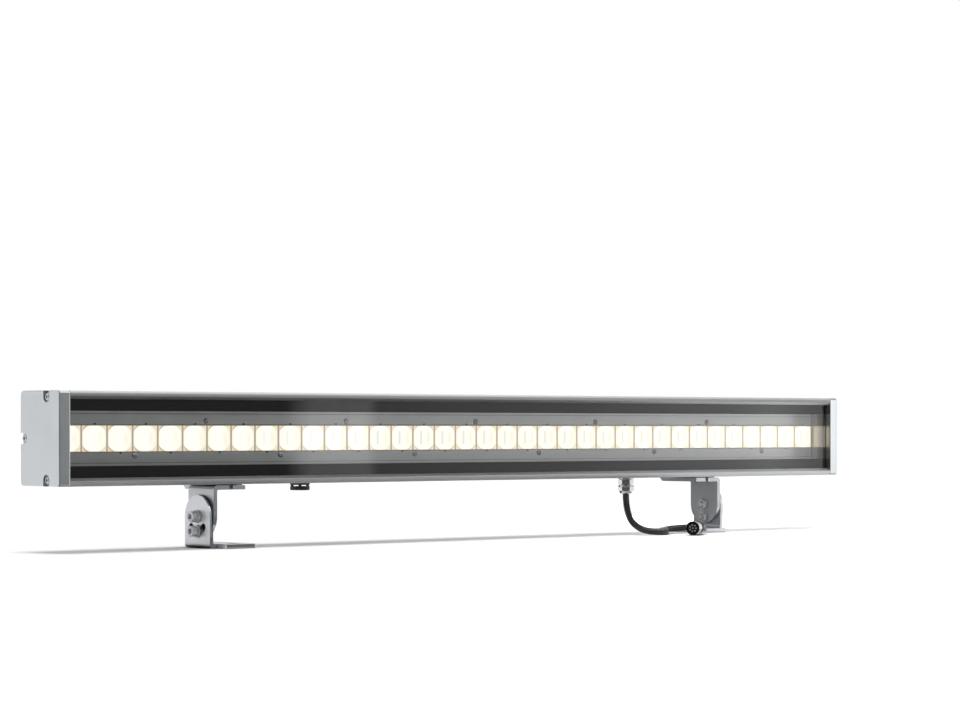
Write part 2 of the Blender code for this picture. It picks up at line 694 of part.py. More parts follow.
def gland():
    """Nickel-plated gland: ring and hexagon under the housing, then the domed nut."""
    top = HOUSING_CENTRE_Z - HOUSING_HALF_HEIGHT - GAP
    bore = CABLE_DIAMETER / 2 + 0.35
    body = [
        (bore, STEM_HEIGHT), (5.9, STEM_HEIGHT), (5.9, 0), (8.4, 0), (8.4, -1.3), (6.9, -1.6), (6.9, -7.6),
        (5.6, -7.6), (5.6, -12.2), (bore, -12.2),
    ]
    obj = piece("gland_body", turned(body, 16, base=(GLAND_X, 0, top)), nickel)
    inner = circle((GLAND_X, 0), 6.0, 12)
    join(obj, prism(circle((GLAND_X, 0), 8.2, 6), "Z", top - 7.4, top - 2.0, [inner]))
    nut_top = top - 8.0
    shell = [
        (6.0, 0), (8.6, 0), (8.6, -1.4), (7.0, -1.8), (7.0, -6.2), (6.3, -8.2), (5.0, -9.0),
        (bore, -9.0), (bore, -7.6), (6.0, -6.6),
    ]
    obj = piece("gland_nut", turned(shell, 16, base=(GLAND_X, 0, nut_top)), nickel)
    inner = circle((GLAND_X, 0), 6.5, 12)
    join(obj, prism(circle((GLAND_X, 0), 8.3, 6), "Z", nut_top - 6.0, nut_top - 1.2, [inner]))
    seal = [(bore, 44.5), (5.7, 44.5), (5.7, 46.3), (bore, 46.3)]
    piece("gland_seal", turned(seal, 16, base=(GLAND_X, 0, 0)), rubber)


def smooth_route(points, count):
    """Evenly spaced points on a Catmull-Rom curve through the given ones."""
    path = [Vector(point) for point in points]
    padded = [2 * path[0] - path[1], *path, 2 * path[-1] - path[-2]]
    dense = []
    for index in range(1, len(padded) - 2):
        a, b, c, d = padded[index - 1:index + 3]
        square = 2 * a - 5 * b + 4 * c - d
        cube = 3 * b - a - 3 * c + d
        for step in range(16):
            t = step / 16
            dense.append(0.5 * (2 * b + (c - a) * t + square * t**2 + cube * t**3))
    dense.append(path[-1])
    run = [0.0]
    for before, after in zip(dense, dense[1:]):
        run.append(run[-1] + (after - before).length)
    even = []
    place = 0
    for number in range(count):
        target = run[-1] * number / (count - 1)
        while place < len(run) - 2 and run[place + 1] < target:
            place += 1
        share = (target - run[place]) / (run[place + 1] - run[place])
        even.append(dense[place].lerp(dense[place + 1], share))
    return even


def cable():
    curve = bpy.data.curves.new("supply_cable", "CURVE")
    curve.dimensions = "3D"
    curve.bevel_depth = CABLE_DIAMETER / 2 * MM
    curve.bevel_resolution = 3
    curve.use_fill_caps = True
    route = smooth_route(CABLE_ROUTE, CABLE_POINTS)
    spline = curve.splines.new("POLY")
    spline.points.add(len(route) - 1)
    for point, place in zip(spline.points, route):
        point.co = (*(place * MM), 1.0)
    curve.materials.append(cable_black)
    obj = bpy.data.objects.new("supply_cable", curve)
    bpy.context.scene.collection.objects.link(obj)


def connector():
    """Round connector lying on the floor: insert, knurled nut and moulded body."""
    bearing = math.radians(CONNECTOR_BEARING)
    axis = Vector((math.sin(bearing), math.cos(bearing), 0))
    insert = [(0, 0.7), (4.5, 0.7), (4.9, 1.1), (4.9, 14.7), (0, 14.7)]
    obj = piece("connector_insert", turned(insert, 16, axis, CONNECTOR_FACE), black_plastic)
    places = [Vector((0, 0))] + circle((0, 0), CONTACT_CIRCLE, CONTACTS_ROUND)
    cut(obj, merged([
        aimed(prism(circle(place, 0.55, 6), "Z", -1, 3.5), axis, CONNECTOR_FACE) for place in places
    ]))
    flutes = 16
    blank = []
    for index in range(flutes * 2):
        radius = 7.2 if index % 2 else 6.85
        angle = 2 * math.pi * index / (flutes * 2)
        blank.append((radius * math.cos(angle), radius * math.sin(angle)))
    knurled = aimed(prism(blank, "Z", 1.2, 14.6), axis, CONNECTOR_FACE)
    obj = piece("connector_nut", knurled, nickel, CONNECTOR_FACE)
    ring = [(6.0, 0), (6.9, 0), (7.2, 0.4), (7.2, 1.6), (6.0, 1.6)]
    collar = [(6.0, 14.2), (6.6, 14.2), (6.6, 17.0), (6.0, 17.0)]
    join(obj, turned(ring, 16, axis, CONNECTOR_FACE))
    join(obj, turned(collar, 16, axis, CONNECTOR_FACE))
    cut(obj, turned([(7.9, 7.4), (6.7, 8.0), (6.7, 8.8), (7.9, 9.4)], 16, axis, CONNECTOR_FACE))
    cut(obj, turned([(0, -1), (5.7, -1), (5.7, 18), (0, 18)], 16, axis, CONNECTOR_FACE))
    body = [
        (0, 15.0), (5.2, 15.0), (5.2, 17.3), (6.5, 17.3), (6.5, 19.4), (6.0, 19.8), (6.0, 21.2), (6.5, 21.6),
        (6.5, 27.0), (5.8, 29.5), (4.6, 31.5), (4.3, 36.0), (0, 36.0),
    ]
    piece("connector_body", turned(body, 18, axis, CONNECTOR_FACE), black_plastic)


clear_scene()

aluminium = make_material("satin aluminium", (0.60, 0.61, 0.63), 0.38, 1.0)
cap_metal = make_material("pale cap metal", (0.66, 0.68, 0.71), 0.45, 0.8)
strip_metal = make_material("grey strip metal", (0.34, 0.35, 0.36), 0.42, 0.7)
plated_steel = make_material("zinc plated steel", (0.52, 0.54, 0.56), 0.35, 1.0)
stainless = make_material("stainless screws", (0.62, 0.63, 0.65), 0.25, 1.0)
nickel = make_material("bright nickel", (0.72, 0.72, 0.74), 0.18, 1.0)
rubber = make_material("black rubber", (0.02, 0.02, 0.02), 0.8)
black_plastic = make_material("black plastic", (0.025, 0.025, 0.028), 0.45)
cable_black = make_material("black cable sheath", (0.03, 0.03, 0.032), 0.5)
glass = make_material("clear glass", (0.9, 0.93, 0.93), 0.02)
lens_clear = make_material("warm lit lenses", (1.0, 0.93, 0.8), 0.1, 0.0, (1.0, 0.88, 0.68))
board_white = make_material("white board", (0.8, 0.8, 0.78), 0.5)
board_green = make_material("green board", (0.03, 0.16, 0.07), 0.5)
driver_metal = make_material("driver case", (0.55, 0.56, 0.57), 0.5, 0.8)

housing()
glass_and_seals()
cover_strips()
for number in range(MODULES):
    lens_module(number)
    led_board(number)
electronics()
vent()
gland()
cable()
connector()
for direction, name in ((-1, "left"), (1, "right")):
    end_cap(direction, name)
    upper_bracket(direction, name)
    foot_bracket(direction, name)
    bolt_set(direction, name, "pivot", PIVOT_Z)
    bolt_set(direction, name, "lock", PIVOT_Z - LOCK_RADIUS)
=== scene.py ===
import json
import math

import bmesh
import bpy
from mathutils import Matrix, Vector


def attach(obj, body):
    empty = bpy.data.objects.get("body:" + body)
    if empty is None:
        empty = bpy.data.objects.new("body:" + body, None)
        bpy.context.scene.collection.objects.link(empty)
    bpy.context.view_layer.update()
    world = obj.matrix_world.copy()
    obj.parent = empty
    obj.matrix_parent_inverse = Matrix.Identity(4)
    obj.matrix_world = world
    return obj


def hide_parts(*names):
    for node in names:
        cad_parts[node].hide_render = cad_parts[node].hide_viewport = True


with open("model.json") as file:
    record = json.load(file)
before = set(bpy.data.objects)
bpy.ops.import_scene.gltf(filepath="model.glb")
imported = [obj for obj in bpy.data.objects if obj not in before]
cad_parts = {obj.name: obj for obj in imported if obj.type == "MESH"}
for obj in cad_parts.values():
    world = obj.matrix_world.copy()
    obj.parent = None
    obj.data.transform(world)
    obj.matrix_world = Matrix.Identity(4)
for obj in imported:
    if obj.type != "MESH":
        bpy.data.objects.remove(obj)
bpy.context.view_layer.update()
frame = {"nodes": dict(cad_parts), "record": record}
mm = 0.001
barMiddle = 101.6  # height of the bar's middle above the floor
lensRow = {"start": -495.0, "pitch": 27.5, "half": 12.05}  # its left end, and a lens's width and half height
printedBorder = (24.6, 38.3)  # the black borders' edges, up and down from the bar's middle
joint = {"pivot": 29.0, "lock": 15.5}  # the heights of the feet's bolts
print("frame loaded")


# modelling helpers
def deselectAll():
    for item in list(bpy.context.selected_objects):
        item.select_set(False)


def activate(piece):
    deselectAll()
    piece.select_set(True)
    bpy.context.view_layer.objects.active = piece


def applyPlace(piece):
    activate(piece)
    bpy.ops.object.transform_apply(location=True, rotation=True, scale=True)


def addBlock(name, low, high):
    # a cube at its size and place, in mm
    deselectAll()
    size = [(b - a) * mm for a, b in zip(low, high)]
    middle = [(a + b) * mm / 2 for a, b in zip(low, high)]
    bpy.ops.mesh.primitive_cube_add(size=1, location=middle, scale=size)
    piece = bpy.context.object
    piece.name = name
    applyPlace(piece)
    return piece


def addRound(name, rings, sides=48, hollow=False, place=(0, 0, 0), axis=(0, 0, 1), roll=0):
    # a disc or ring pulled along Z through (height, radius) steps, then turned to its axis
    deselectAll()
    height, radius = rings[0]
    fill = "NOTHING" if hollow else "NGON"
    bpy.ops.mesh.primitive_circle_add(vertices=sides, radius=radius * mm, fill_type=fill)
    piece = bpy.context.object
    piece.name = name
    piece.location.z = height * mm
    piece.rotation_euler.z = math.radians(roll)
    applyPlace(piece)
    bpy.ops.object.mode_set(mode="EDIT")
    bpy.ops.mesh.select_mode(type="EDGE" if hollow else "FACE")
    bpy.ops.mesh.select_all(action="SELECT")
    for high, wide in rings[1:]:
        rise = (0, 0, (high - height) * mm)
        bpy.ops.mesh.extrude_region_move(TRANSFORM_OT_translate={"value": rise})
        scale = wide / radius
        bpy.ops.transform.resize(value=(scale, scale, 1), center_override=(0, 0, high * mm))
        height, radius = high, wide
    if hollow:
        bpy.ops.mesh.select_all(action="DESELECT")
        bpy.ops.mesh.select_non_manifold()
        bpy.ops.mesh.bridge_edge_loops()
    bpy.ops.mesh.select_all(action="SELECT")
    bpy.ops.mesh.normals_make_consistent(inside=False)
    bpy.ops.object.mode_set(mode="OBJECT")
    piece.rotation_mode = "QUATERNION"
    piece.rotation_quaternion = Vector(axis).to_track_quat("Z", "Y")
    piece.location = Vector(place) * mm
    applyPlace(piece)
    return piece


def pick(piece, kind, test):
    # selects faces by (middle, normal) or edges by their two ends, all in mm
    bpy.ops.mesh.select_mode(type=kind)
    bpy.ops.mesh.select_all(action="DESELECT")
    mesh = bmesh.from_edit_mesh(piece.data)
    if kind == "FACE":
        for face in mesh.faces:
            if test(face.calc_center_median() / mm, face.normal):
                face.select_set(True)
    else:
        for edge in mesh.edges:
            if test(*(vert.co / mm for vert in edge.verts)):
                edge.select_set(True)
    bmesh.update_edit_mesh(piece.data)


def bothAt(a, b, **places):
    # whether both ends of an edge lie at the given X, Y or Z
    return all(abs(getattr(end, key) - place) < 0.1 for end in (a, b) for key, place in places.items())


def alongBar(a, b):
    return abs(a.x - b.x) > 1


def upright(a, b):
    return abs(a.z - b.z) > 1


def bevelEdges(piece, test, width, segments):
    activate(piece)
    bpy.ops.object.mode_set(mode="EDIT")
    pick(piece, "EDGE", test)
    bpy.ops.mesh.bevel(offset=width * mm, segments=segments, affect="EDGES")
    bpy.ops.object.mode_set(mode="OBJECT")


def pullFaces(piece, test, move):
    # makes the faces that pass the test grow by a move in mm
    activate(piece)
    bpy.ops.object.mode_set(mode="EDIT")
    pick(piece, "FACE", test)
    shift = tuple(step * mm for step in move)
    bpy.ops.mesh.extrude_region_move(TRANSFORM_OT_translate={"value": shift})
    bpy.ops.object.mode_set(mode="OBJECT")


def sliceAt(piece, x):
    # a new ring of edges across the piece
    activate(piece)
    bpy.ops.object.mode_set(mode="EDIT")
    bpy.ops.mesh.select_all(action="SELECT")
    bpy.ops.mesh.bisect(plane_co=(x * mm, 0, 0), plane_no=(1, 0, 0))
    bpy.ops.object.mode_set(mode="OBJECT")


def carve(piece, tool, how="DIFFERENCE"):
    activate(piece)
    cut = piece.modifiers.new("carve", "BOOLEAN")
    cut.operation = how
    cut.solver = "EXACT"
    cut.object = tool
    bpy.ops.object.modifier_apply(modifier="carve")
    bpy.data.objects.remove(tool)


def carveRound(piece, rings, sides, place, axis=(0, 0, 1), how="DIFFERENCE"):
    carve(piece, addRound("tool", rings, sides, place=place, axis=axis), how)


def soften(piece, width, segments=2):
    # a fine rounding of every sharp edge, then normals that keep the flats flat
    activate(piece)
    if width:
        edge = piece.modifiers.new("edges", "BEVEL")
        edge.width = width * mm
        edge.segments = segments
        edge.limit_method = "ANGLE"
        edge.angle_limit = math.radians(40)
        bpy.ops.object.modifier_apply(modifier="edges")
    bpy.ops.object.shade_smooth_by_angle(angle=math.radians(38))
    flat = piece.modifiers.new("normals", "WEIGHTED_NORMAL")
    flat.keep_sharp = True
    bpy.ops.object.modifier_apply(modifier="normals")


def copyTo(piece, name, move=(0, 0, 0)):
    activate(piece)
    bpy.ops.object.duplicate(linked=False)
    twin = bpy.context.object
    twin.name = name
    twin.location = Vector(move) * mm
    applyPlace(twin)
    return twin


def mirrorOver(piece, name):
    # the same form on the other end of the bar
    twin = copyTo(piece, name)
    twin.scale.x = -1
    applyPlace(twin)
    bpy.ops.object.mode_set(mode="EDIT")
    bpy.ops.mesh.select_all(action="SELECT")
    bpy.ops.mesh.normals_make_consistent(inside=False)
    bpy.ops.object.mode_set(mode="OBJECT")
    return twin


def joinAll(pieces, name):
    activate(pieces[0])
    for other in pieces[1:]:
        other.select_set(True)
    bpy.ops.object.join()
    whole = bpy.context.object
    whole.name = name
    return whole


def mergedCopy(node, name):
    # a CAD node's form as clean faces, ready for its own edges
    activate(frame["nodes"][node])
    bpy.ops.object.duplicate(linked=False)
    piece = bpy.context.object
    for key in list(piece.keys()):
        del piece[key]
    piece.name = name
    piece.parent = None
    bpy.ops.object.mode_set(mode="EDIT")
    bpy.ops.mesh.select_all(action="SELECT")
    bpy.ops.mesh.remove_doubles(threshold=0.00001)
    bpy.ops.mesh.dissolve_limited(angle_limit=math.radians(0.5))
    bpy.ops.object.mode_set(mode="OBJECT")
    return piece


def finishPiece(piece, material, body, slot, *nodes):
    piece.data.materials.clear()
    piece.data.materials.append(material)
    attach(piece, body)
    if nodes:
        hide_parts(*nodes)


# camera
cameraLook = {"place": (-1.8604, -2.1505, 0.110), "turn": (90, 0, -41), "lens": 106.25, "shift": 0.0771}
bpy.ops.object.camera_add(
    location=cameraLook["place"], rotation=[math.radians(angle) for angle in cameraLook["turn"]]
)
camera = bpy.context.object
camera.data.lens = cameraLook["lens"]
camera.data.sensor_width = 36
camera.data.shift_y = cameraLook["shift"]
camera.data.clip_end = 60
bpy.context.scene.camera = camera


# material helpers
def startMaterial(name):
    material = bpy.data.materials.new(name)
    material.use_nodes = True
    tree = material.node_tree
    return material, tree, tree.nodes["Principled BSDF"]


def addNode(tree, kind, values=None, **settings):
    made = tree.nodes.new("ShaderNode" + kind)
    for key, value in settings.items():
        setattr(made, key, value)
    for key, value in (values or {}).items():
        if isinstance(value, bpy.types.NodeSocket):
            tree.links.new(value, made.inputs[key])
        else:
            made.inputs[key].default_value = value
    return made


def calc(tree, operation, first, second=0.0, clamp=False):
    return addNode(tree, "Math", {0: first, 1: second}, operation=operation, use_clamp=clamp).outputs[0]


def product(tree, *parts):
    whole = parts[0]
    for part in parts[1:]:
        whole = calc(tree, "MULTIPLY", whole, part)
    return whole


def above(tree, value, limit):
    return calc(tree, "GREATER_THAN", value, limit)


def below(tree, value, limit):
    return calc(tree, "LESS_THAN", value, limit)


def away(tree, value, middle):
    # how far a value lies from a middle, either way
    return calc(tree, "ABSOLUTE", calc(tree, "SUBTRACT", value, middle))


def reachOf(tree, across, upward):
    return calc(tree, "SQRT", calc(tree, "ADD", product(tree, across, across), product(tree, upward, upward)))


def blendNumbers(tree, amount, first, second):
    return addNode(tree, "Mix", {0: amount, 2: first, 3: second}, data_type="FLOAT").outputs[0]


def blendColours(tree, amount, first, second, kind="MIX"):
    mixed = addNode(tree, "Mix", {0: amount, 6: first, 7: second}, data_type="RGBA", blend_type=kind)
    return mixed.outputs[2]


def greyOf(tree, tone):
    # a grey from a number that changes over the surface
    return addNode(tree, "CombineXYZ", {0: tone, 1: tone, 2: tone}).outputs[0]


def retone(tree, share, tone, kind="MULTIPLY"):
    # works a grey or a colour into what already feeds the base colour, by share
    base = tree.nodes["Principled BSDF"].inputs["Base Color"]
    colour = (tone, tone, tone, 1) if isinstance(tone, float) else tone
    tree.links.new(blendColours(tree, share, base.links[0].from_socket, colour, kind), base)


def objectPlace(tree, scale=(1, 1, 1)):
    spot = addNode(tree, "TexCoord").outputs["Object"]
    return addNode(tree, "Mapping", {0: spot, 3: scale}).outputs[0]


def placeInMm(tree):
    # a point's X, Y and Z
    return addNode(tree, "SeparateXYZ", {0: objectPlace(tree, (1000, 1000, 1000))}).outputs


def noiseAt(tree, place, scale, detail, roughness=0.55):
    values = {"Vector": place, "Scale": scale, "Detail": detail, "Roughness": roughness}
    return addNode(tree, "TexNoise", values).outputs[0]


def spread(tree, value, low, high, start=0.3, stop=0.7):
    # goes from low to high while the value goes from start to stop
    return addNode(tree, "MapRange", {0: value, 1: start, 2: stop, 3: low, 4: high}).outputs[0]


def makeFinish(name, look):
    # a surface with fine grain, slow colour drift and uneven gloss, all from Object coordinates
    material, tree, shader = startMaterial(name)
    grain = noiseAt(tree, objectPlace(tree, look.get("stretch", (1, 1, 1))), look["grain"], 6.0, 0.6)
    drift = noiseAt(tree, objectPlace(tree), look.get("drift", 30.0), 3.0)

    def mixture(share):
        return calc(tree, "ADD", product(tree, grain, share), product(tree, drift, 1 - share))

    colour = blendColours(tree, spread(tree, mixture(0.6), 0, 1), (*look["dark"], 1), (*look["pale"], 1))
    gloss = spread(tree, mixture(0.5), *look["rough"])
    if "edge" in look:
        # cut edges and bends have a darker tone and a gloss of their own; the tone changes from the left
        # foot's to the right one's, painted shade that differs between the two ends
        flat = addNode(tree, "SeparateXYZ", {0: addNode(tree, "TexCoord").outputs["Normal"]}).outputs
        flatness = calc(tree, "MAXIMUM", calc(tree, "ABSOLUTE", flat[0]), calc(tree, "ABSOLUTE", flat[2]))
        edge = below(tree, flatness, 0.9)
        tone = spread(tree, placeInMm(tree)[0], *look["edge"]["tone"], -200.0, 200.0)
        colour = blendColours(tree, edge, colour, greyOf(tree, tone), "MULTIPLY")
        gloss = blendNumbers(tree, edge, gloss, look["edge"]["rough"])
    tree.links.new(colour, shader.inputs["Base Color"])
    tree.links.new(gloss, shader.inputs["Roughness"])
    depth = look.get("depth", 0.0001)
    bump = addNode(tree, "Bump", {"Strength": look["bump"], "Distance": depth, "Height": grain})
    tree.links.new(bump.outputs[0], shader.inputs["Normal"])
    shader.inputs["Metallic"].default_value = look.get("metal", 0.0)
    if "specular" in look:
        shader.inputs["Specular IOR Level"].default_value = look["specular"]
    return material


finishes = {
    "anodised": {"dark": (0.38, 0.39, 0.4), "pale": (0.44, 0.45, 0.46), "metal": 0.8, "rough": (0.4, 0.5),
                 "grain": 900.0, "stretch": (0.05, 1, 1), "bump": 0.08},
    "cap": {"dark": (0.53, 0.555, 0.575), "pale": (0.58, 0.605, 0.625), "metal": 0.85,
            "rough": (0.13, 0.19), "grain": 1400.0, "bump": 0.08},
    "strip": {"dark": (0.275, 0.29, 0.297), "pale": (0.325, 0.34, 0.347), "metal": 0.08,
              "rough": (0.12, 0.18), "grain": 800.0, "stretch": (0.04, 1, 1), "bump": 0.06},
    "zinc": {"dark": (0.62, 0.635, 0.66), "pale": (0.69, 0.705, 0.735), "metal": 0.86,
             "rough": (0.34, 0.46), "grain": 1100.0, "drift": 60.0, "bump": 0.12,
             # painted shade: the feet's cut edges are darker on the left foot than on the right
             "edge": {"tone": (0.52, 0.8), "rough": 0.2}},
    # the upper brackets' zinc: a darker copy of the feet's, painted shade under the housing
    "zincUpperShaded": {"dark": (0.48, 0.495, 0.515), "pale": (0.54, 0.555, 0.575), "metal": 0.86,
                  "rough": (0.34, 0.46), "grain": 1100.0, "drift": 60.0, "bump": 0.12,
                  "edge": {"tone": (0.9, 0.85), "rough": 0.2}},
    "stainless": {"dark": (0.36, 0.37, 0.38), "pale": (0.86, 0.87, 0.88), "metal": 0.35,
                  "rough": (0.2, 0.34), "grain": 620.0, "drift": 260.0, "bump": 0.7, "depth": 0.0003},
    "nickel": {"dark": (0.6, 0.6, 0.61), "pale": (0.74, 0.74, 0.75), "metal": 1.0, "rough": (0.04, 0.1),
               "grain": 1500.0, "drift": 120.0, "bump": 0.05},
    "screw": {"dark": (0.34, 0.34, 0.35), "pale": (0.54, 0.54, 0.55), "metal": 0.95, "rough": (0.06, 0.14),
              "grain": 1500.0, "drift": 200.0, "bump": 0.1},
    "stripScrew": {"dark": (0.34, 0.34, 0.35), "pale": (0.54, 0.54, 0.55), "metal": 0.95,
                   "rough": (0.08, 0.2), "grain": 600.0, "drift": 150.0, "bump": 0.05},
    "rubber": {"dark": (0.012, 0.012, 0.012), "pale": (0.028, 0.028, 0.028), "rough": (0.6, 0.85),
               "grain": 2200.0, "bump": 0.5},
    "sheath": {"dark": (0.018, 0.018, 0.019), "pale": (0.034, 0.034, 0.036), "rough": (0.22, 0.32),
               "grain": 1500.0, "bump": 0.2},
    "plastic": {"dark": (0.012, 0.012, 0.013), "pale": (0.028, 0.028, 0.03), "rough": (0.3, 0.45),
                "grain": 2000.0, "bump": 0.3},
    "print": {"dark": (0.003, 0.003, 0.0035), "pale": (0.006, 0.006, 0.007), "rough": (0.45, 0.6),
              "grain": 1600.0, "bump": 0.1, "specular": 0.0},
    "whiteBoard": {"dark": (0.62, 0.62, 0.6), "pale": (0.74, 0.74, 0.72), "rough": (0.35, 0.5),
                   "grain": 1600.0, "bump": 0.1},
    "greenBoard": {"dark": (0.015, 0.1, 0.04), "pale": (0.03, 0.17, 0.07), "rough": (0.3, 0.5),
                   "grain": 900.0, "bump": 0.2},
    "driverCase": {"dark": (0.42, 0.43, 0.44), "pale": (0.58, 0.59, 0.6), "metal": 0.8,
                   "rough": (0.35, 0.55), "grain": 900.0, "bump": 0.15},
    "contact": {"dark": (0.34, 0.335, 0.33), "pale": (0.48, 0.475, 0.47), "metal": 0.2, "rough": (0.2, 0.3),
                "grain": 2000.0, "bump": 0.05},
    "shell": {"dark": (0.012, 0.012, 0.013), "pale": (0.024, 0.024, 0.026), "rough": (0.35, 0.5),
              "grain": 2000.0, "bump": 0.2, "specular": 0.12},
}
finish = {name: makeFinish(name, look) for name, look in finishes.items()}


def makeGlass():
    # clear, with a mirror's share by Fresnel, and no inner mirror over the printed borders
    look = {"index": 1.5, "clear": (0.985, 0.985, 0.98, 1), "rough": (0.006, 0.014)}
    material, tree, shader = startMaterial("clearGlass")
    shader.inputs["Base Color"].default_value = (1, 1, 1, 1)
    shader.inputs["Metallic"].default_value = 1.0
    dust = noiseAt(tree, objectPlace(tree), 9.0, 2.0)
    tree.links.new(spread(tree, dust, *look["rough"]), shader.inputs["Roughness"])
    clear = addNode(tree, "BsdfTransparent", {"Color": look["clear"]})
    inside = addNode(tree, "NewGeometry").outputs["Backfacing"]
    index = spread(tree, inside, look["index"], 1 / look["index"], 0.0, 1.0)
    mirror = addNode(tree, "Fresnel", {"IOR": index}).outputs[0]
    border = above(tree, away(tree, placeInMm(tree)[2], barMiddle), printedBorder[0])
    bare = calc(tree, "SUBTRACT", 1.0, product(tree, inside, border))
    amount = product(tree, mirror, bare)
    both = addNode(tree, "MixShader", {0: amount, 1: clear.outputs[0], 2: shader.outputs[0]})
    tree.links.new(both.outputs[0], tree.nodes["Material Output"].inputs["Surface"])
    return material


def makeLens():
    # each lens: a hot disc cut off by the square, a faint LED image, outlined corners, dark seams
    look = {
        "hot": (1.0, 0.992, 0.90), "cream": (0.85, 0.82, 0.63), "pink": (0.84, 0.72, 0.61),
        "green": (0.82, 0.86, 0.62), "corner": (0.96, 0.79, 0.55), "outline": (0.42, 0.31, 0.19),
        "line": (0.62, 0.60, 0.54), "seam": (0.36, 0.31, 0.26), "edge": (0.17, 0.12, 0.11),
        "strength": 1.12, "disc": 0.555,
    }
    material, tree, shader = startMaterial("litLens")

    def paint(under, amount, name):
        return blendColours(tree, amount, under, (*look[name], 1))

    def edgeOf(value, start, stop):
        return spread(tree, value, 0.0, 1.0, start, stop)

    def near(value, middle, outer, inner):
        # 1 within inner of the middle, 0 beyond outer
        return edgeOf(away(tree, value, middle), outer, inner)

    def times(*parts):
        # where all the shares meet
        return product(tree, *parts)

    # the place within a lens, from -0.5 to 0.5 each way, and two chances for each lens
    place = placeInMm(tree)
    along = calc(tree, "DIVIDE", calc(tree, "SUBTRACT", place[0], lensRow["start"]), lensRow["pitch"])
    across = calc(tree, "SUBTRACT", calc(tree, "FRACT", along), 0.5)
    upward = calc(tree, "DIVIDE", calc(tree, "SUBTRACT", place[2], barMiddle), 2 * lensRow["half"])
    wide = calc(tree, "ABSOLUTE", across)
    high = calc(tree, "ABSOLUTE", upward)
    reach = reachOf(tree, across, upward)
    number = calc(tree, "FLOOR", along)
    chance = addNode(tree, "TexWhiteNoise", {"W": number}, noise_dimensions="1D").outputs[0]
    other = calc(tree, "FRACT", calc(tree, "MULTIPLY", chance, 7.31))
    # along the bar the left corners fade, then all four show, and the LED image grows
    fading = spread(tree, place[0], 1.0, 0.45, -330.0, -130.0)
    leftCorners = times(spread(tree, across, 1.0, 0.4, -0.2, 0.2), fading)
    evened = edgeOf(place[0], -130.0, -80.0)
    allCorners = times(evened, spread(tree, place[0], 0.7, 0.15, -50.0, 300.0))
    corners = calc(tree, "MAXIMUM", leftCorners, allCorners)
    growing = spread(tree, place[0], 0.1, 0.8, -330.0, -80.0)
    # the disc, the LED's line and its pink or green patch
    creamy = times(edgeOf(across, 0.1, 0.4), spread(tree, other, 0.3, 0.75, 0.0, 1.0))
    body = paint((*look["hot"], 1), creamy, "cream")
    body = paint(body, times(near(across, -0.15, 0.07, 0.03), edgeOf(high, 0.31, 0.24), growing), "line")
    patch = times(near(across, 0.19, 0.13, 0.03), edgeOf(high, 0.34, 0.12))
    leftPatch = times(patch, edgeOf(place[0], -80.0, -130.0))
    body = paint(body, times(patch, evened, 0.75), "pink")
    body = paint(body, times(leftPatch, edgeOf(chance, 0.4, 0.6), 0.35), "pink")
    body = paint(body, times(leftPatch, edgeOf(chance, 0.6, 0.4), 0.45), "green")
    body = paint(body, edgeOf(reach, 0.45, 0.56), "cream")
    body = paint(body, spread(tree, place[0], 0.0, 0.3, -250.0, 50.0), "cream")
    # the corners with their two outlines, then the seams and the row's dark edges, painted shadow of the
    # strips' hems
    body = paint(body, times(edgeOf(reach, look["disc"], look["disc"] + 0.02), corners), "corner")
    body = paint(body, times(near(reach, look["disc"], 0.042, 0.012), corners, 0.9), "outline")
    body = paint(body, times(near(reach, look["disc"] + 0.07, 0.026, 0.006), corners, 0.6), "outline")
    body = paint(body, times(edgeOf(wide, 0.40, 0.45), 0.5), "corner")
    body = paint(body, edgeOf(wide, 0.455, 0.468), "seam")
    # painted shadow: dark lines along the row's top and bottom edges, under the strips' hems
    body = paint(body, edgeOf(upward, 0.466, 0.484), "edge")
    body = paint(body, edgeOf(upward, -0.486, -0.496), "edge")
    tree.links.new(body, shader.inputs["Emission Color"])
    shader.inputs["Emission Strength"].default_value = look["strength"]
    shader.inputs["Base Color"].default_value = (0.06, 0.055, 0.05, 1)
    shader.inputs["Roughness"].default_value = 0.12
    shader.inputs["Specular IOR Level"].default_value = 0.2
    return material


def paintCapShadeAndHighlight():
    # smooth inner walls painted dark, painted shade in the recess around the glass, darker flat chamfers, and
    # a bright, non-metallic painted highlight along the left cap's inner front edge
    look = {"inner": 496.7, "wall": (0.23, 0.215, 0.20, 1), "deepWall": (0.45, 0.42, 0.385, 1),
            "frontWall": (0.38, 0.365, 0.345, 1), "wallRough": 0.13, "chamfer": 0.5, "bare": 0.8}
    tree = finish["cap"].node_tree
    shader = tree.nodes["Principled BSDF"]
    place = placeInMm(tree)
    # painted shade: the inner walls are darkest by the glass, paler in front of it and palest deeper in
    wall = below(tree, calc(tree, "ABSOLUTE", place[0]), look["inner"])
    deep = spread(tree, place[1], 0.0, 1.0, -19.0, -14.0)
    paintedWallShade = blendColours(tree, deep, look["wall"], look["deepWall"])
    paintedWallShade = blendColours(tree, below(tree, place[1], -26.3), paintedWallShade, look["frontWall"])
    retone(tree, wall, paintedWallShade, "MIX")
    rough = shader.inputs["Roughness"]
    tree.links.new(blendNumbers(tree, wall, rough.links[0].from_socket, look["wallRough"]), rough)
    rise = away(tree, place[2], barMiddle)
    retone(tree, product(tree, above(tree, rise, 40.7), below(tree, place[1], -30.1)), look["chamfer"])
    # painted highlight: a pale, non-metallic band along the left cap's inner front edge, standing in for a
    # line of light
    edge = product(tree, above(tree, place[0], -497.4), below(tree, place[0], 0.0))
    bare = product(tree, edge, below(tree, place[1], -31.2))
    retone(tree, bare, look["bare"], "MIX")
    metal = calc(tree, "MULTIPLY", calc(tree, "SUBTRACT", 1.0, bare), finishes["cap"]["metal"])
    tree.links.new(metal, shader.inputs["Metallic"])


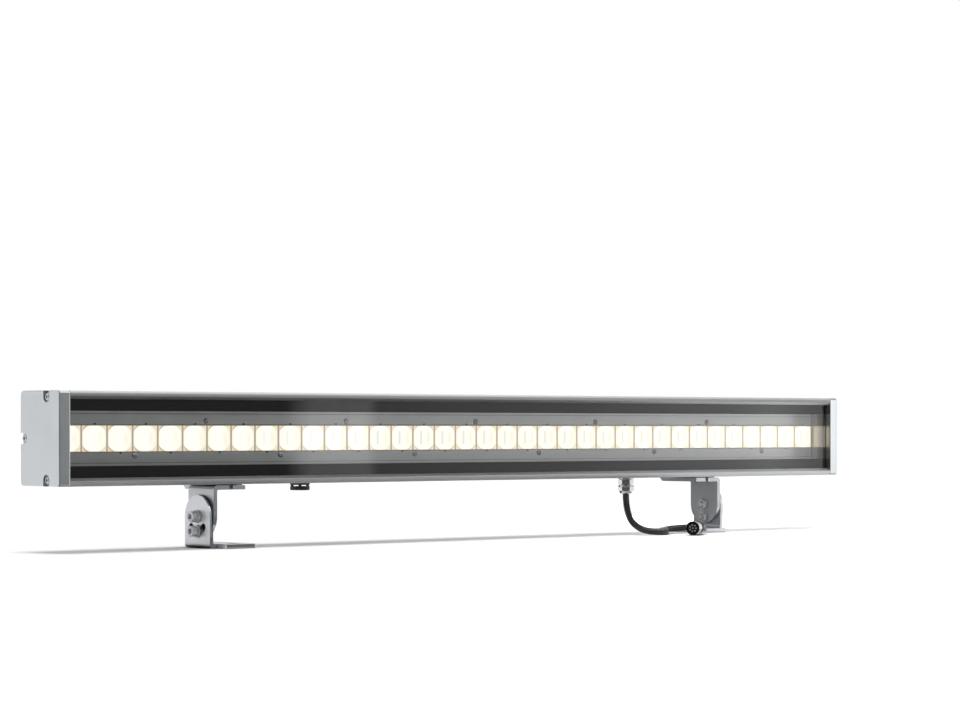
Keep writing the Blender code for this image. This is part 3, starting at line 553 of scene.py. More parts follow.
def paintHousingLightAndShade():
    # painted light and shade: the lips' inner slopes grow paler to the right, the upper front flat is darker
    # and the lower one paler
    look = {"lowSlope": (0.42, 1.1), "highSlope": (0.6, 1.7), "lowFront": 1.25, "highFront": 0.66}
    tree = finish["anodised"].node_tree
    place = placeInMm(tree)
    rise = calc(tree, "SUBTRACT", place[2], barMiddle)
    inLips = below(tree, calc(tree, "ABSOLUTE", rise), 38.2)
    slope = product(tree, above(tree, place[1], -31.9), below(tree, place[1], -26.2), inLips)
    front = below(tree, place[1], -31.9)
    for label, half in (("low", below(tree, rise, 0.0)), ("high", above(tree, rise, 0.0))):
        tone = spread(tree, place[0], *look[label + "Slope"], 0.0, 450.0)
        retone(tree, product(tree, slope, half), greyOf(tree, tone))
        retone(tree, product(tree, front, half), look[label + "Front"])


def paintStripHemShade():
    # painted shade and highlight along the folded hem at the outer edges: a dark painted shade line and a
    # paler painted highlight edge
    tree = finish["strip"].node_tree
    rise = away(tree, placeInMm(tree)[2], barMiddle)
    retone(tree, product(tree, above(tree, rise, 21.9), below(tree, rise, 22.9)), 0.6)
    retone(tree, above(tree, rise, 22.9), 1.15)


def paintStripScrewShade():
    # painted shade: the strips' screws are darker towards the right end, standing in for their darker
    # reflections there
    tree = finish["stripScrew"].node_tree
    tone = spread(tree, placeInMm(tree)[0], 1.0, 0.3, -250.0, 50.0)
    retone(tree, 1.0, greyOf(tree, tone))


def paintFootShadeAndHighlight():
    # painted shade on the foot plate's inner side, darker still on its rim, in the gap against the upper
    # bracket and wider on the left foot, and a painted highlight on the left foot's outer rim
    look = {"face": 0.62, "rim": 0.12, "rimHighlight": 1.9}
    tree = finish["zinc"].node_tree
    place = placeInMm(tree)
    outward = calc(tree, "ABSOLUTE", place[0])
    gapShadeLayer = below(tree, outward, spread(tree, place[0], 335.9, 334.4, -100.0, 100.0))
    face = below(tree, outward, 334.0)
    rim = product(tree, calc(tree, "SUBTRACT", gapShadeLayer, face), spread(tree, place[2], 0.0, 1.0, 18.0, 23.0))
    leftHighlightBand = product(tree, below(tree, outward, 337.7), below(tree, place[0], 0.0))
    bare = product(tree, calc(tree, "SUBTRACT", 1.0, gapShadeLayer), above(tree, place[2], 10.0))
    retone(tree, product(tree, face, above(tree, place[2], 7.0)), look["face"])
    retone(tree, rim, look["rim"])
    retone(tree, product(tree, bare, leftHighlightBand), look["rimHighlight"])


def paintUpperSlotShade():
    # the same painted shade on the upper bracket's outer face, where the foot plate covers it, seen through
    # the foot's arc slot
    tree = finish["zincUpperShaded"].node_tree
    place = placeInMm(tree)
    outer = above(tree, calc(tree, "ABSOLUTE", place[0]), 333.2)
    reach = reachOf(tree, calc(tree, "SUBTRACT", place[2], joint["pivot"]), place[1])
    retone(tree, product(tree, outer, below(tree, reach, 17.5)), (0.12, 0.12, 0.15, 1))


finish["glass"] = makeGlass()
finish["lens"] = makeLens()
paintCapShadeAndHighlight()
paintHousingLightAndShade()
paintStripHemShade()
paintStripScrewShade()
paintFootShadeAndHighlight()
paintUpperSlotShade()
print("materials made")

# cord
# the route's points are those of the CAD's cable, in mm
leadRoute = [
    (212.5, 0.0, 46.0), (212.5, 0.0, 41.5), (212.2, -0.6, 36.0), (210.6, -3.0, 30.0), (207.2, -8.5, 22.8),
    (202.8, -16.9, 15.8), (199.8, -26.0, 10.6), (198.6, -35.3, 6.8), (200.4, -42.4, 4.6), (204.7, -48.0, 3.7),
    (211.3, -50.9, 3.5), (218.5, -50.5, 3.5), (225.3, -46.8, 3.5), (231.7, -40.5, 3.5), (238.0, -33.3, 3.6),
    (244.8, -26.0, 3.8), (252.0, -21.5, 4.2), (260.1, -20.9, 4.7), (267.9, -24.2, 5.2), (273.6, -30.6, 5.8),
    (276.5, -38.7, 6.3), (275.6, -47.4, 6.8), (271.6, -54.5, 7.1), (265.4, -59.4, 7.3), (258.7, -63.7, 7.4),
]
lead = {"diameter": 6.8, "steps": 6, "roundness": 6, "exit": (0.2125, 0.0, 0.0418)}


def smoothRoute(points, steps):
    # an even curve through every point
    path = [Vector(point) * mm for point in points]
    ends = [2 * path[0] - path[1], *path, 2 * path[-1] - path[-2]]
    dense = []
    for a, b, c, d in zip(ends, ends[1:], ends[2:], ends[3:]):
        square = 2 * a - 5 * b + 4 * c - d
        cube = 3 * b - a - 3 * c + d
        for t in (step / steps for step in range(steps)):
            dense.append(0.5 * (2 * b + (c - a) * t + square * t**2 + cube * t**3))
    return dense + [path[-1]]


def addLead():
    route = smoothRoute(leadRoute, lead["steps"])
    length = sum((b - a).length for a, b in zip(route, route[1:]))
    curve = bpy.data.curves.new("supplyLead", "CURVE")
    curve.dimensions = "3D"
    curve.bevel_depth = lead["diameter"] / 2 * mm
    curve.bevel_resolution = lead["roundness"]
    curve.use_fill_caps = True
    spline = curve.splines.new("POLY")
    spline.points.add(len(route) - 1)
    for point, place in zip(spline.points, route):
        point.co = (*place, 1.0)
    spline.use_smooth = True
    piece = bpy.data.objects.new("supplyLead", curve)
    bpy.context.scene.collection.objects.link(piece)
    return piece, length


supplyLead, leadLength = addLead()
finishPiece(supplyLead, finish["sheath"], "housing", "cable_sheath", "supply_cable")
print("lead laid,", round(leadLength, 3), "m")


# housing, glass and strips
def makeHousing():
    piece = mergedCopy("housing_extrusion", "housingProfile")
    soften(piece, 0.3)
    finishPiece(piece, finish["anodised"], "housing", "satin_aluminium", "housing_extrusion")


def makeGlassPane():
    pane = {"front": -26.1, "rear": -22.1, "half": 38.5, "length": 495.9, "arris": 0.4}
    border = {"front": -22.06, "rear": -22.0, "length": 495.8}
    piece = addBlock(
        "frontGlass", (-pane["length"], pane["front"], barMiddle - pane["half"]),
        (pane["length"], pane["rear"], barMiddle + pane["half"]),
    )
    soften(piece, pane["arris"], 1)
    finishPiece(piece, finish["glass"], "housing", "clear_glass", "front_glass")
    for label, side in (("upper", 1), ("lower", -1)):
        low, high = sorted(barMiddle + side * edge for edge in printedBorder)
        piece = addBlock(
            label + "GlassBorder", (-border["length"], border["front"], low),
            (border["length"], border["rear"], high),
        )
        finishPiece(piece, finish["print"], "housing", "clear_glass")


def makeStrips():
    for label in ("upper", "lower"):
        piece = mergedCopy(label + "_cover_strip", label + "CoverStrip")
        soften(piece, 0.2)
        finishPiece(piece, finish["strip"], "housing", "grey_strip_metal", label + "_cover_strip")


makeHousing()
makeGlassPane()
makeStrips()
print("housing made")


# lenses
def makeLensModules():
    lens = {"seam": 1.3, "back": -0.8, "slab": -2.6, "shoulder": -4.7, "crown": -5.9, "dome": 11.6,
            "edge": 0.35, "overlap": 0.2, "gap": 0.2, "each": 12}
    pitch, half = lensRow["pitch"], lensRow["half"]
    block = addBlock(
        "lensCell", (-pitch / 2 + lens["seam"] / 2, lens["shoulder"], barMiddle - half),
        (pitch / 2 - lens["seam"] / 2, lens["slab"] + lens["overlap"], barMiddle + half),
    )
    bevelEdges(block, lambda a, b: bothAt(a, b, y=lens["shoulder"]), lens["edge"], 2)
    rise = lens["shoulder"] - lens["crown"]
    steps = [(-0.5, lens["dome"])]
    for step in range(8):
        angle = math.pi / 2 * step / 8
        steps.append((rise * math.sin(angle), lens["dome"] * math.cos(angle)))
    carveRound(block, steps, 40, (0, lens["shoulder"], barMiddle), (0, -1, 0), "UNION")
    for module in range(3):
        first = lensRow["start"] + module * lens["each"] * pitch
        last = first + lens["each"] * pitch
        middles = [first + (index + 0.5) * pitch for index in range(lens["each"])]
        cells = [copyTo(block, "cell", (middle, 0, 0)) for middle in middles]
        slab = addBlock(
            "slab", (first + lens["gap"], lens["slab"], barMiddle - half),
            (last - lens["gap"], lens["back"], barMiddle + half),
        )
        whole = joinAll([slab] + cells, f"lensModule{module + 1}")
        soften(whole, 0)
        finishPiece(whole, finish["lens"], "housing", "lit_lens", f"lens_module_{module + 1}")
    bpy.data.objects.remove(block)


def makeStripScrews():
    # pan-head screws in two staggered rows, and the small dark pegs along the lens edges
    row = {
        "seat": -3.4, "height": 15.6, "pegHeight": 13.15, "pegs": 36, "recess": [(0.5, 1.2), (3, 1.2)],
        "upper": (6, 12, 18, 24, 30), "lower": (3.12, 9.12, 15.12, 21.12, 27.12, 33.12),
        "head": [(-0.4, 2.6), (0, 2.9), (0.3, 2.9), (0.8, 2.6), (1.2, 2.1), (1.5, 1.5)],
        "peg": [(-0.3, 0.85), (0.5, 0.85), (0.8, 0.6)],
    }
    outward = (0, -1, 0)
    seat = (0, row["seat"], 0)

    def placeAt(mark, rise):
        return (lensRow["start"] + mark * lensRow["pitch"], 0, barMiddle + rise)

    screw = addRound("screw", row["head"], 28, place=seat, axis=outward)
    carveRound(screw, row["recess"], 6, seat, outward)
    soften(screw, 0.06)
    peg = addRound("peg", row["peg"], 16, place=seat, axis=outward)
    screws = [copyTo(screw, "screw", placeAt(mark, row["height"])) for mark in row["upper"]]
    screws += [copyTo(screw, "screw", placeAt(mark, -row["height"])) for mark in row["lower"]]
    pegs = []
    for number in range(row["pegs"]):
        side = -1 if number % 2 == 0 else 1
        pegs.append(copyTo(peg, "peg", placeAt(number + 0.55, side * row["pegHeight"])))
    for first in (screw, peg):
        bpy.data.objects.remove(first)
    screws = joinAll(screws, "stripScrews")
    finishPiece(screws, finish["stripScrew"], "housing", "stainless_steel")
    pegs = joinAll(pegs, "lensPegs")
    soften(pegs, 0)
    finishPiece(pegs, finish["print"], "housing", "black_plastic")


makeLensModules()
makeStripScrews()
print("lenses made")

# end caps
# each notch's place from the cap's middle, along Y and Z, and the notches' flat bottom
capNotches = {"top": (-10.9, 36.9), "bottom": (-10.9, -36.9), "rear": (26.2, 0.0)}
notchBottom = 505.0


def makeEndCaps():
    cap = {"inner": 496.5, "outer": 508.0, "front": -32.0, "rear": 32.0, "half": 42.5, "rim": 1.2,
           "rearRound": 4.0, "chamfer": 2.0, "frontRound": 0.6, "notch": 5.0, "mouth": 12, "bore": 2.0}
    piece = addBlock(
        "rightEndCap", (cap["inner"], cap["front"], barMiddle - cap["half"]),
        (cap["outer"], cap["rear"], barMiddle + cap["half"]),
    )
    bevelEdges(piece, lambda a, b: alongBar(a, b) and a.y > cap["rear"] - 2, cap["rearRound"], 8)
    bevelEdges(piece, lambda a, b: alongBar(a, b) and a.y < cap["front"] + 2, cap["chamfer"], 1)
    bevelEdges(piece, lambda a, b: bothAt(a, b, x=cap["outer"]), cap["rim"], 4)
    bevelEdges(piece, lambda a, b: bothAt(a, b, x=cap["inner"], y=cap["front"]), cap["frontRound"], 3)
    for y, z in capNotches.values():
        height = barMiddle + z
        rings = [(0, cap["notch"]), (5, cap["notch"])]
        tool = addRound("notch", rings, 48, place=(notchBottom, y, height), axis=(1, 0, 0))
        low = [notchBottom, y - cap["notch"], height - cap["notch"]]
        high = [cap["outer"] + 2, y + cap["notch"], height + cap["notch"]]
        if z > 0:
            low[2], high[2] = height, height + cap["mouth"]
        elif z < 0:
            low[2], high[2] = height - cap["mouth"], height
        else:
            low[1], high[1] = y, y + cap["mouth"]
        carve(tool, addBlock("mouth", low, high), "UNION")
        carve(piece, tool)
        bore = [(0, cap["bore"]), (20, cap["bore"])]
        carveRound(piece, bore, 24, (cap["inner"] - 2, y, height), (1, 0, 0))
    twin = mirrorOver(piece, "leftEndCap")
    for item, label in ((piece, "right"), (twin, "left")):
        soften(item, 0.15)
        finishPiece(item, finish["cap"], "housing", "cap_metal", label + "_end_cap")


def makeCapScrews():
    # button heads with a six-sided socket, just clear of the notches' bottoms
    screw = {"seat": notchBottom + 0.3, "head": 3.8, "edge": 0.7, "dome": 1.6, "socket": 1.35,
             "socketDepth": 1.4, "shank": [(-22, 1.3), (-21.6, 1.65), (0, 1.65)]}
    steps = screw["shank"] + [(0, screw["head"]), (screw["edge"], screw["head"])]
    for step in range(1, 7):
        angle = math.pi / 2 * step / 6
        height = screw["edge"] + screw["dome"] * math.sin(angle)
        steps.append((height, screw["head"] / 2 * (1 + math.cos(angle))))
    deep = screw["edge"] + screw["dome"] - screw["socketDepth"]
    for label, side in (("left", -1), ("right", 1)):
        for where, (y, z) in capNotches.items():
            seat = (side * screw["seat"], y, barMiddle + z)
            head = addRound(label + "CapScrew" + where.title(), steps, 40, place=seat, axis=(side, 0, 0))
            socket = [(deep, screw["socket"]), (deep + 4, screw["socket"])]
            carveRound(head, socket, 6, seat, (side, 0, 0))
            soften(head, 0.08)
            finishPiece(head, finish["screw"], "housing", "stainless_steel", f"{label}_cap_screw_{where}")


makeEndCaps()
makeCapScrews()
print("end caps made")

# feet
# the flange screws' places, their heads' seat, and the names of the bodies that own the nodes
flangeScrews = [(311.0, 9.0), (311.0, 22.0)]
flangeBottom = 53.9
bodyOf = {node: body for body, nodes in frame["record"]["behaviour"]["bodies"].items() for node in nodes}


def makeUpperBracket():
    plate = {"inner": 297.5, "step": 328.5, "inside": 329.5, "outer": 333.5, "half": 20.1, "rear": 35.0,
             "top": 57.9, "bend": 5.5, "innerBend": 1.5, "corner": 3.2, "hole": 3.3,
             "slot": (311.5, 315.5), "slotFront": -24, "slotEnd": -8,
             "sink": [(-1, 4.4), (0, 4.4), (2.1, 2.3), (8, 2.3)]}
    low = joint["pivot"] - plate["half"]
    piece = addBlock(
        "rightUpperBracket", (plate["inner"], -plate["half"], flangeBottom),
        (plate["outer"], plate["half"], plate["top"]),
    )
    sliceAt(piece, plate["inside"])
    pullFaces(piece, lambda spot, way: way.z < -0.9 and spot.x > plate["inside"], (0, 0, low - flangeBottom))
    sliceAt(piece, plate["step"])
    widening = (0, plate["rear"] - plate["half"], 0)
    pullFaces(piece, lambda spot, way: way.y > 0.9 and spot.x < plate["step"], widening)
    bevelEdges(piece, lambda a, b: bothAt(a, b, z=low) and alongBar(a, b), plate["half"] - 0.01, 28)
    bevelEdges(piece, lambda a, b: bothAt(a, b, x=plate["outer"], z=plate["top"]), plate["bend"], 8)
    bevelEdges(piece, lambda a, b: bothAt(a, b, x=plate["inside"], z=flangeBottom), plate["innerBend"], 4)
    bevelEdges(piece, lambda a, b: bothAt(a, b, y=plate["rear"], z=flangeBottom), plate["corner"], 1)
    for z in joint.values():
        hole = [(0, plate["hole"]), (8, plate["hole"])]
        carveRound(piece, hole, 32, (plate["inside"] - 2, 0, z), (1, 0, 0))
    # the flange's open slot and the seats of its two screws
    left, right = plate["slot"]
    middle, radius = (left + right) / 2, (right - left) / 2
    under = flangeBottom - 1
    slot = addBlock("slot", (left, plate["slotFront"], under), (right, plate["slotEnd"], plate["top"] + 1))
    carveRound(slot, [(0, radius), (8, radius)], 32, (middle, plate["slotEnd"], under), how="UNION")
    carve(piece, slot)
    for x, y in flangeScrews:
        carveRound(piece, plate["sink"], 32, (x, y, flangeBottom))
    return piece


def makeFoot():
    foot = {"inner": 295.5, "step": 328.5, "plate": 333.8, "outer": 337.8, "half": 20.1, "wide": 35.0,
            "thick": 4.0, "bend": 5.5, "innerBend": 1.5, "hole": 3.3, "arc": 3.4, "corner": 3.0,
            "slot": (306.5, 315.5), "slotReach": (11.5, 29.0), "slotRound": 4.4}
    top = joint["pivot"] + foot["half"]
    piece = addBlock(
        "rightFootBracket", (foot["inner"], -foot["half"], 0), (foot["outer"], foot["half"], foot["thick"])
    )
    sliceAt(piece, foot["plate"])
    pullFaces(piece, lambda spot, way: way.z > 0.9 and spot.x > foot["plate"], (0, 0, top - foot["thick"]))
    sliceAt(piece, foot["step"])
    for side in (-1, 1):
        widening = (0, side * (foot["wide"] - foot["half"]), 0)
        pullFaces(piece, lambda spot, way: way.y * side > 0.9 and spot.x < foot["step"], widening)
    bevelEdges(piece, lambda a, b: bothAt(a, b, z=top) and alongBar(a, b), foot["half"] - 0.01, 28)
    bevelEdges(piece, lambda a, b: upright(a, b) and abs(a.y) > foot["wide"] - 0.1, foot["corner"], 6)
    bevelEdges(piece, lambda a, b: bothAt(a, b, x=foot["outer"], z=0), foot["bend"], 8)
    bevelEdges(piece, lambda a, b: bothAt(a, b, x=foot["plate"], z=foot["thick"]), foot["innerBend"], 4)
    pivot = (foot["plate"] - 1, 0, joint["pivot"])
    carveRound(piece, [(0, foot["hole"]), (6, foot["hole"])], 32, pivot, (1, 0, 0))
    carve(piece, makeArcTool(pivot, foot["arc"]))
    left, right = foot["slot"]
    for side in (-1, 1):
        near, far = sorted(side * reach for reach in foot["slotReach"])
        slot = addBlock("slot", (left, near, -1), (right, far, foot["thick"] + 2))
        bevelEdges(slot, upright, foot["slotRound"], 8)
        carve(piece, slot)
    return piece


def makeArcTool(pivot, half):
    # the lock slot: a quarter ring below the pivot with round ends
    arc = {"reach": joint["pivot"] - joint["lock"], "wedge": 12}
    inner, outer = arc["reach"] - half, arc["reach"] + half
    x, y, z = pivot
    ring = addRound("ring", [(0, inner), (0, outer), (6, outer), (6, inner)], 96, True, pivot, (1, 0, 0))
    wedge = addBlock(
        "wedge", (x - 1, y - arc["wedge"], z - arc["wedge"]), (x + 7, y + arc["wedge"], z + arc["wedge"])
    )
    activate(wedge)
    bpy.ops.object.mode_set(mode="EDIT")
    bpy.ops.mesh.select_all(action="SELECT")
    centre = tuple(part * mm for part in pivot)
    bpy.ops.transform.rotate(value=math.radians(45), orient_axis="X", center_override=centre)
    bpy.ops.transform.translate(value=(0, 0, -arc["wedge"] * math.sqrt(2) * mm))
    bpy.ops.object.mode_set(mode="OBJECT")
    carve(ring, wedge, "INTERSECT")
    shift = arc["reach"] * math.sqrt(0.5)
    for side in (-1, 1):
        carveRound(ring, [(0, half), (6, half)], 32, (x, side * shift, z - shift), (1, 0, 0), "UNION")
    return ring


def makeFastener(side, label, kind, z):
    # socket-head bolt, washer and nut through both plates
    look = {
        "washerSeat": 338.1, "washer": [(0, 3.3), (0, 5.8), (0.2, 6.0), (1.4, 6.0), (1.6, 5.8), (1.6, 3.3)],
        "boltSeat": 340.0, "socket": [(2.8, 2.9), (8, 2.9)],
        "bolt": [(-17.5, 2.1), (-16.9, 2.7), (0, 2.7), (0, 4.7), (0.3, 5), (5.4, 5), (5.8, 4.8), (6, 4.4)],
        "nutSeat": 329.2, "nut": [(0, 5.77), (5, 5.77)], "chamfer": [(-1, 5.9), (4.2, 5.9), (5.1, 5.0)],
        "bore": [(-1, 2.95), (4.4, 2.95), (5.2, 3.6)],
    }
    name = label + kind.title()
    outward, inward = (side, 0, 0), (-side, 0, 0)
    washerSeat, boltSeat, nutSeat = ((side * look[part + "Seat"], 0, z) for part in ("washer", "bolt", "nut"))
    washer = addRound(name + "Washer", look["washer"], 48, True, washerSeat, outward)
    soften(washer, 0)
    bolt = addRound(name + "Bolt", look["bolt"], 48, place=boltSeat, axis=outward)
    carveRound(bolt, look["socket"], 6, boltSeat, outward)
    soften(bolt, 0.12)
    nut = addRound(name + "Nut", look["nut"], 6, place=nutSeat, axis=inward)
    carveRound(nut, look["chamfer"], 48, nutSeat, inward, "INTERSECT")
    carveRound(nut, look["bore"], 32, nutSeat, inward)
    soften(nut, 0.1)
    for piece, part in ((washer, "washer"), (bolt, "bolt"), (nut, "nut")):
        node = f"{label}_{kind}_{part}"
        finishPiece(piece, finish["stainless"], bodyOf[node], "stainless_steel", node)


def makeFlangeScrews(side, label):
    head = [(0.1, 3.8), (0.3, 4.0), (0.4, 4.0), (2.6, 1.8), (11, 1.8)]
    socket = [(-1, 1.4), (1.4, 1.4)]
    for number, (x, y) in enumerate(flangeScrews, 1):
        seat = (side * x, y, flangeBottom)
        node = f"{label}_flange_screw_{number}"
        piece = addRound(f"{label}FlangeScrew{number}", head, 40, place=seat)
        carveRound(piece, socket, 6, seat)
        soften(piece, 0.06)
        finishPiece(piece, finish["stainless"], "housing", "stainless_steel", node)


def makeFeet():
    upper = makeUpperBracket()
    foot = makeFoot()
    upperTwin = mirrorOver(upper, "leftUpperBracket")
    footTwin = mirrorOver(foot, "leftFootBracket")
    for item, label in ((upper, "right"), (upperTwin, "left")):
        soften(item, 0.3)
        finishPiece(item, finish["zincUpperShaded"], "housing", "plated_steel", label + "_upper_bracket")
    for item, label in ((foot, "right"), (footTwin, "left")):
        soften(item, 0.3)
        finishPiece(item, finish["zinc"], label + "_foot", "plated_steel", label + "_foot_bracket")
    for label, side in (("left", -1), ("right", 1)):
        for kind, height in joint.items():
            makeFastener(side, label, kind, height)
        makeFlangeScrews(side, label)


makeFeet()
print("feet made")


# vent, gland and connector
def makeVent():
    vent = {
        "x": -218.4, "top": 58.8, "bearing": 37.0, "post": ((-1.4, 6.0, -3.4), (1.4, 8.6, -1.8)),
        "steps": [(4.1, 5.9), (0, 5.9), (0, 9.2), (-0.2, 9.4), (-1.8, 9.4), (-2, 9.2), (-2, 1.5), (-3.2, 1.5),
                  (-3.2, 9.2), (-3.4, 9.4), (-6.2, 9.4), (-6.8, 9.1), (-7, 8.6)],
    }
    piece = addRound("ventPlug", vent["steps"], 56, place=(vent["x"], 0, vent["top"]))
    for quarter in range(4):
        post = addBlock("post", *vent["post"])
        post.rotation_euler.z = -math.radians(vent["bearing"] + 90 * quarter)
        post.location = (vent["x"] * mm, 0, vent["top"] * mm)
        applyPlace(post)
        carve(piece, post, "UNION")
    soften(piece, 0.1)
    finishPiece(piece, finish["plastic"], "housing", "black_plastic", "vent_plug")


def addGlandPart(name, look, place, roll):
    # a turned nickel part with six flats
    piece = addRound(name, look["steps"], 56, True, place)
    hexagon = addRound("hexagon", look["flats"], 6, place=place, roll=roll)
    carveRound(hexagon, look["chamfer"], 56, place, how="INTERSECT")
    carveRound(hexagon, look["core"], 40, place)
    carve(piece, hexagon, "UNION")
    soften(piece, 0.1)
    return piece


def makeGland():
    gland = {"x": 212.5, "top": 58.8, "nut": 50.8, "roll": 46}
    body = {
        "steps": [(4.1, 3.75), (4.1, 5.9), (0, 5.9), (0, 8.2), (-0.2, 8.4), (-1.1, 8.4), (-1.3, 8.2),
                  (-1.6, 6.9), (-7.6, 6.9), (-7.6, 5.6), (-12.2, 5.6), (-12.2, 3.75)],
        "flats": [(-7.4, 8.2), (-2.0, 8.2)], "chamfer": [(-7.6, 7.2), (-6.6, 8.3), (-1, 8.3)],
        "core": [(-9, 6.0), (0, 6.0)],
    }
    nut = {
        "steps": [(0, 6), (0, 8.4), (-0.2, 8.6), (-1.2, 8.6), (-1.4, 8.4), (-1.8, 7), (-6.2, 7), (-7, 6.85),
                  (-7.8, 6.5), (-8.4, 5.9), (-8.8, 5.2), (-9, 4.4), (-9, 3.75), (-7.6, 3.75), (-6.6, 6)],
        "flats": [(-6.0, 8.3), (-1.2, 8.3)], "chamfer": [(-6.2, 7.2), (-5.2, 8.4), (0, 8.4)],
        "core": [(-9, 6.5), (0, 6.5)],
    }
    piece = addGlandPart("glandBody", body, (gland["x"], 0, gland["top"]), gland["roll"])
    finishPiece(piece, finish["nickel"], "housing", "bright_nickel", "gland_body")
    piece = addGlandPart("glandNut", nut, (gland["x"], 0, gland["nut"]), gland["roll"])
    finishPiece(piece, finish["nickel"], "housing", "bright_nickel", "gland_nut")


def makeShadedCollar(face, axis):
    # the nut's nickel, with its front ring painted near black as a painted reflection of dark surroundings
    material = finish["nickel"].copy()
    material.name = "shadedCollar"
    tree = material.node_tree
    place = addNode(tree, "VectorMath", {0: objectPlace(tree), 1: axis}, operation="DOT_PRODUCT")
    depth = calc(tree, "SUBTRACT", place.outputs["Value"], (face * mm).dot(axis))
    retone(tree, below(tree, depth, 0.25 * mm), (0.03, 0.03, 0.033, 1), "MIX")
    return material


def makeConnector():
    plug = {
        "bearing": 57.3, "face": (227.8, -83.5, 7.4), "circle": 3.4, "pins": 7,
        "insert": [(0.7, 4.6), (1.0, 4.9), (14.7, 4.9)], "hole": [(-1, 1.0), (3.5, 1.0)],
        "pin": [(3.4, 0.75), (0.8, 0.75), (0.6, 0.55)],
        "nut": [(0, 5.7), (0, 6.9), (0.4, 7.2), (1.2, 7.2), (1.2, 7), (7.4, 7), (8, 6.7), (8.8, 6.7),
                (9.4, 7), (14.6, 7), (14.6, 6.6), (16.8, 6.6), (17, 6.4), (17, 5.7)],
        "body": [(15, 5.2), (17.3, 5.2), (17.3, 6.3), (17.5, 6.5), (19.4, 6.5), (19.8, 6), (21.2, 6),
                 (21.6, 6.5), (27, 6.5), (28.3, 6.3), (29.5, 5.8), (31.5, 4.7), (33, 4.4), (35.6, 4.3),
                 (36, 4)],
    }
    bearing = math.radians(plug["bearing"])
    axis = Vector((math.sin(bearing), math.cos(bearing), 0))
    upward = Vector((0, 0, 1))
    across = axis.cross(upward)
    face = Vector(plug["face"])
    insert = addRound("connectorInsert", plug["insert"], 48, place=face, axis=axis)
    pins = []
    for number in range(plug["pins"] + 1):
        # a circle of pins, and the last one in its middle
        angle = 2 * math.pi * number / plug["pins"]
        reach = plug["circle"] if number < plug["pins"] else 0.0
        spot = face + (across * math.cos(angle) + upward * math.sin(angle)) * reach
        carveRound(insert, plug["hole"], 16, spot, axis)
        pins.append(addRound("pin", plug["pin"], 16, place=spot, axis=axis))
    soften(insert, 0.05)
    finishPiece(insert, finish["shell"], "housing", "black_plastic", "connector_insert")
    pins = joinAll(pins, "contactPins")
    soften(pins, 0)
    finishPiece(pins, finish["contact"], "housing", "bright_nickel")
    nut = addRound("connectorNut", plug["nut"], 64, True, face, axis)
    soften(nut, 0)
    finishPiece(nut, makeShadedCollar(face, axis), "connector_nut", "bright_nickel", "connector_nut")
    body = addRound("connectorBody", plug["body"], 56, place=face, axis=axis)
    soften(body, 0)
    finishPiece(body, finish["shell"], "housing", "black_plastic", "connector_body")
    return [insert, pins, nut, body]


makeVent()
makeGland()
connectorPieces = makeConnector()
print("vent, gland and connector made")

# CAD nodes that stay
keptNodes = {
    "whiteBoard": ["led_board_1", "led_board_2", "led_board_3"],
    "greenBoard": ["control_board"],
    "driverCase": ["led_driver"],
    "rubber": ["upper_glass_seal", "lower_glass_seal", "left_cap_gasket", "right_cap_gasket", "gland_seal",
               "left_bracket_pad", "right_bracket_pad"],
}
for name, nodes in keptNodes.items():
    for node in nodes:
        for slot in frame["nodes"][node].material_slots:
            slot.material = finish[name]


# floor, cards, lamps and world
def shownRays(tree):
    # 1 for the rays that show the background: camera, mirror and glass rays
    path = addNode(tree, "LightPath").outputs
    seen = calc(tree, "ADD", path["Is Camera Ray"], path["Is Glossy Ray"], True)
    return calc(tree, "ADD", seen, path["Is Transmission Ray"], True)


def makeFloor():
    look = {"size": 40, "low": -0.0002, "reach": 0.015, "shade": (0.25, 0.8), "glow": 0.15,
            "dark": (0.02, 0.02, 0.02, 1), "pale": (0.84, 0.84, 0.84, 1)}
    material, tree, shader = startMaterial("paleFloor")
    # contact shade where something stands on the floor
    close = addNode(tree, "AmbientOcclusion", {"Distance": look["reach"]}, samples=8).outputs["AO"]
    shade = spread(tree, close, 0.0, 1.0, *look["shade"])
    tree.links.new(blendColours(tree, shade, look["dark"], look["pale"]), shader.inputs["Base Color"])
    shader.inputs["Roughness"].default_value = 0.9
    shader.inputs["Specular IOR Level"].default_value = 0.0
    strength = product(tree, shownRays(tree), shade, look["glow"])
    lift = addNode(tree, "Emission", {"Color": (1, 1, 1, 1), "Strength": strength})
    both = addNode(tree, "AddShader", {0: shader.outputs[0], 1: lift.outputs[0]})
    tree.links.new(both.outputs[0], tree.nodes["Material Output"].inputs["Surface"])
    deselectAll()
    bpy.ops.mesh.primitive_plane_add(size=look["size"], location=(0, 0, look["low"]))
    floor = bpy.context.object
    floor.name = "floor"
    floor.data.materials.append(material)


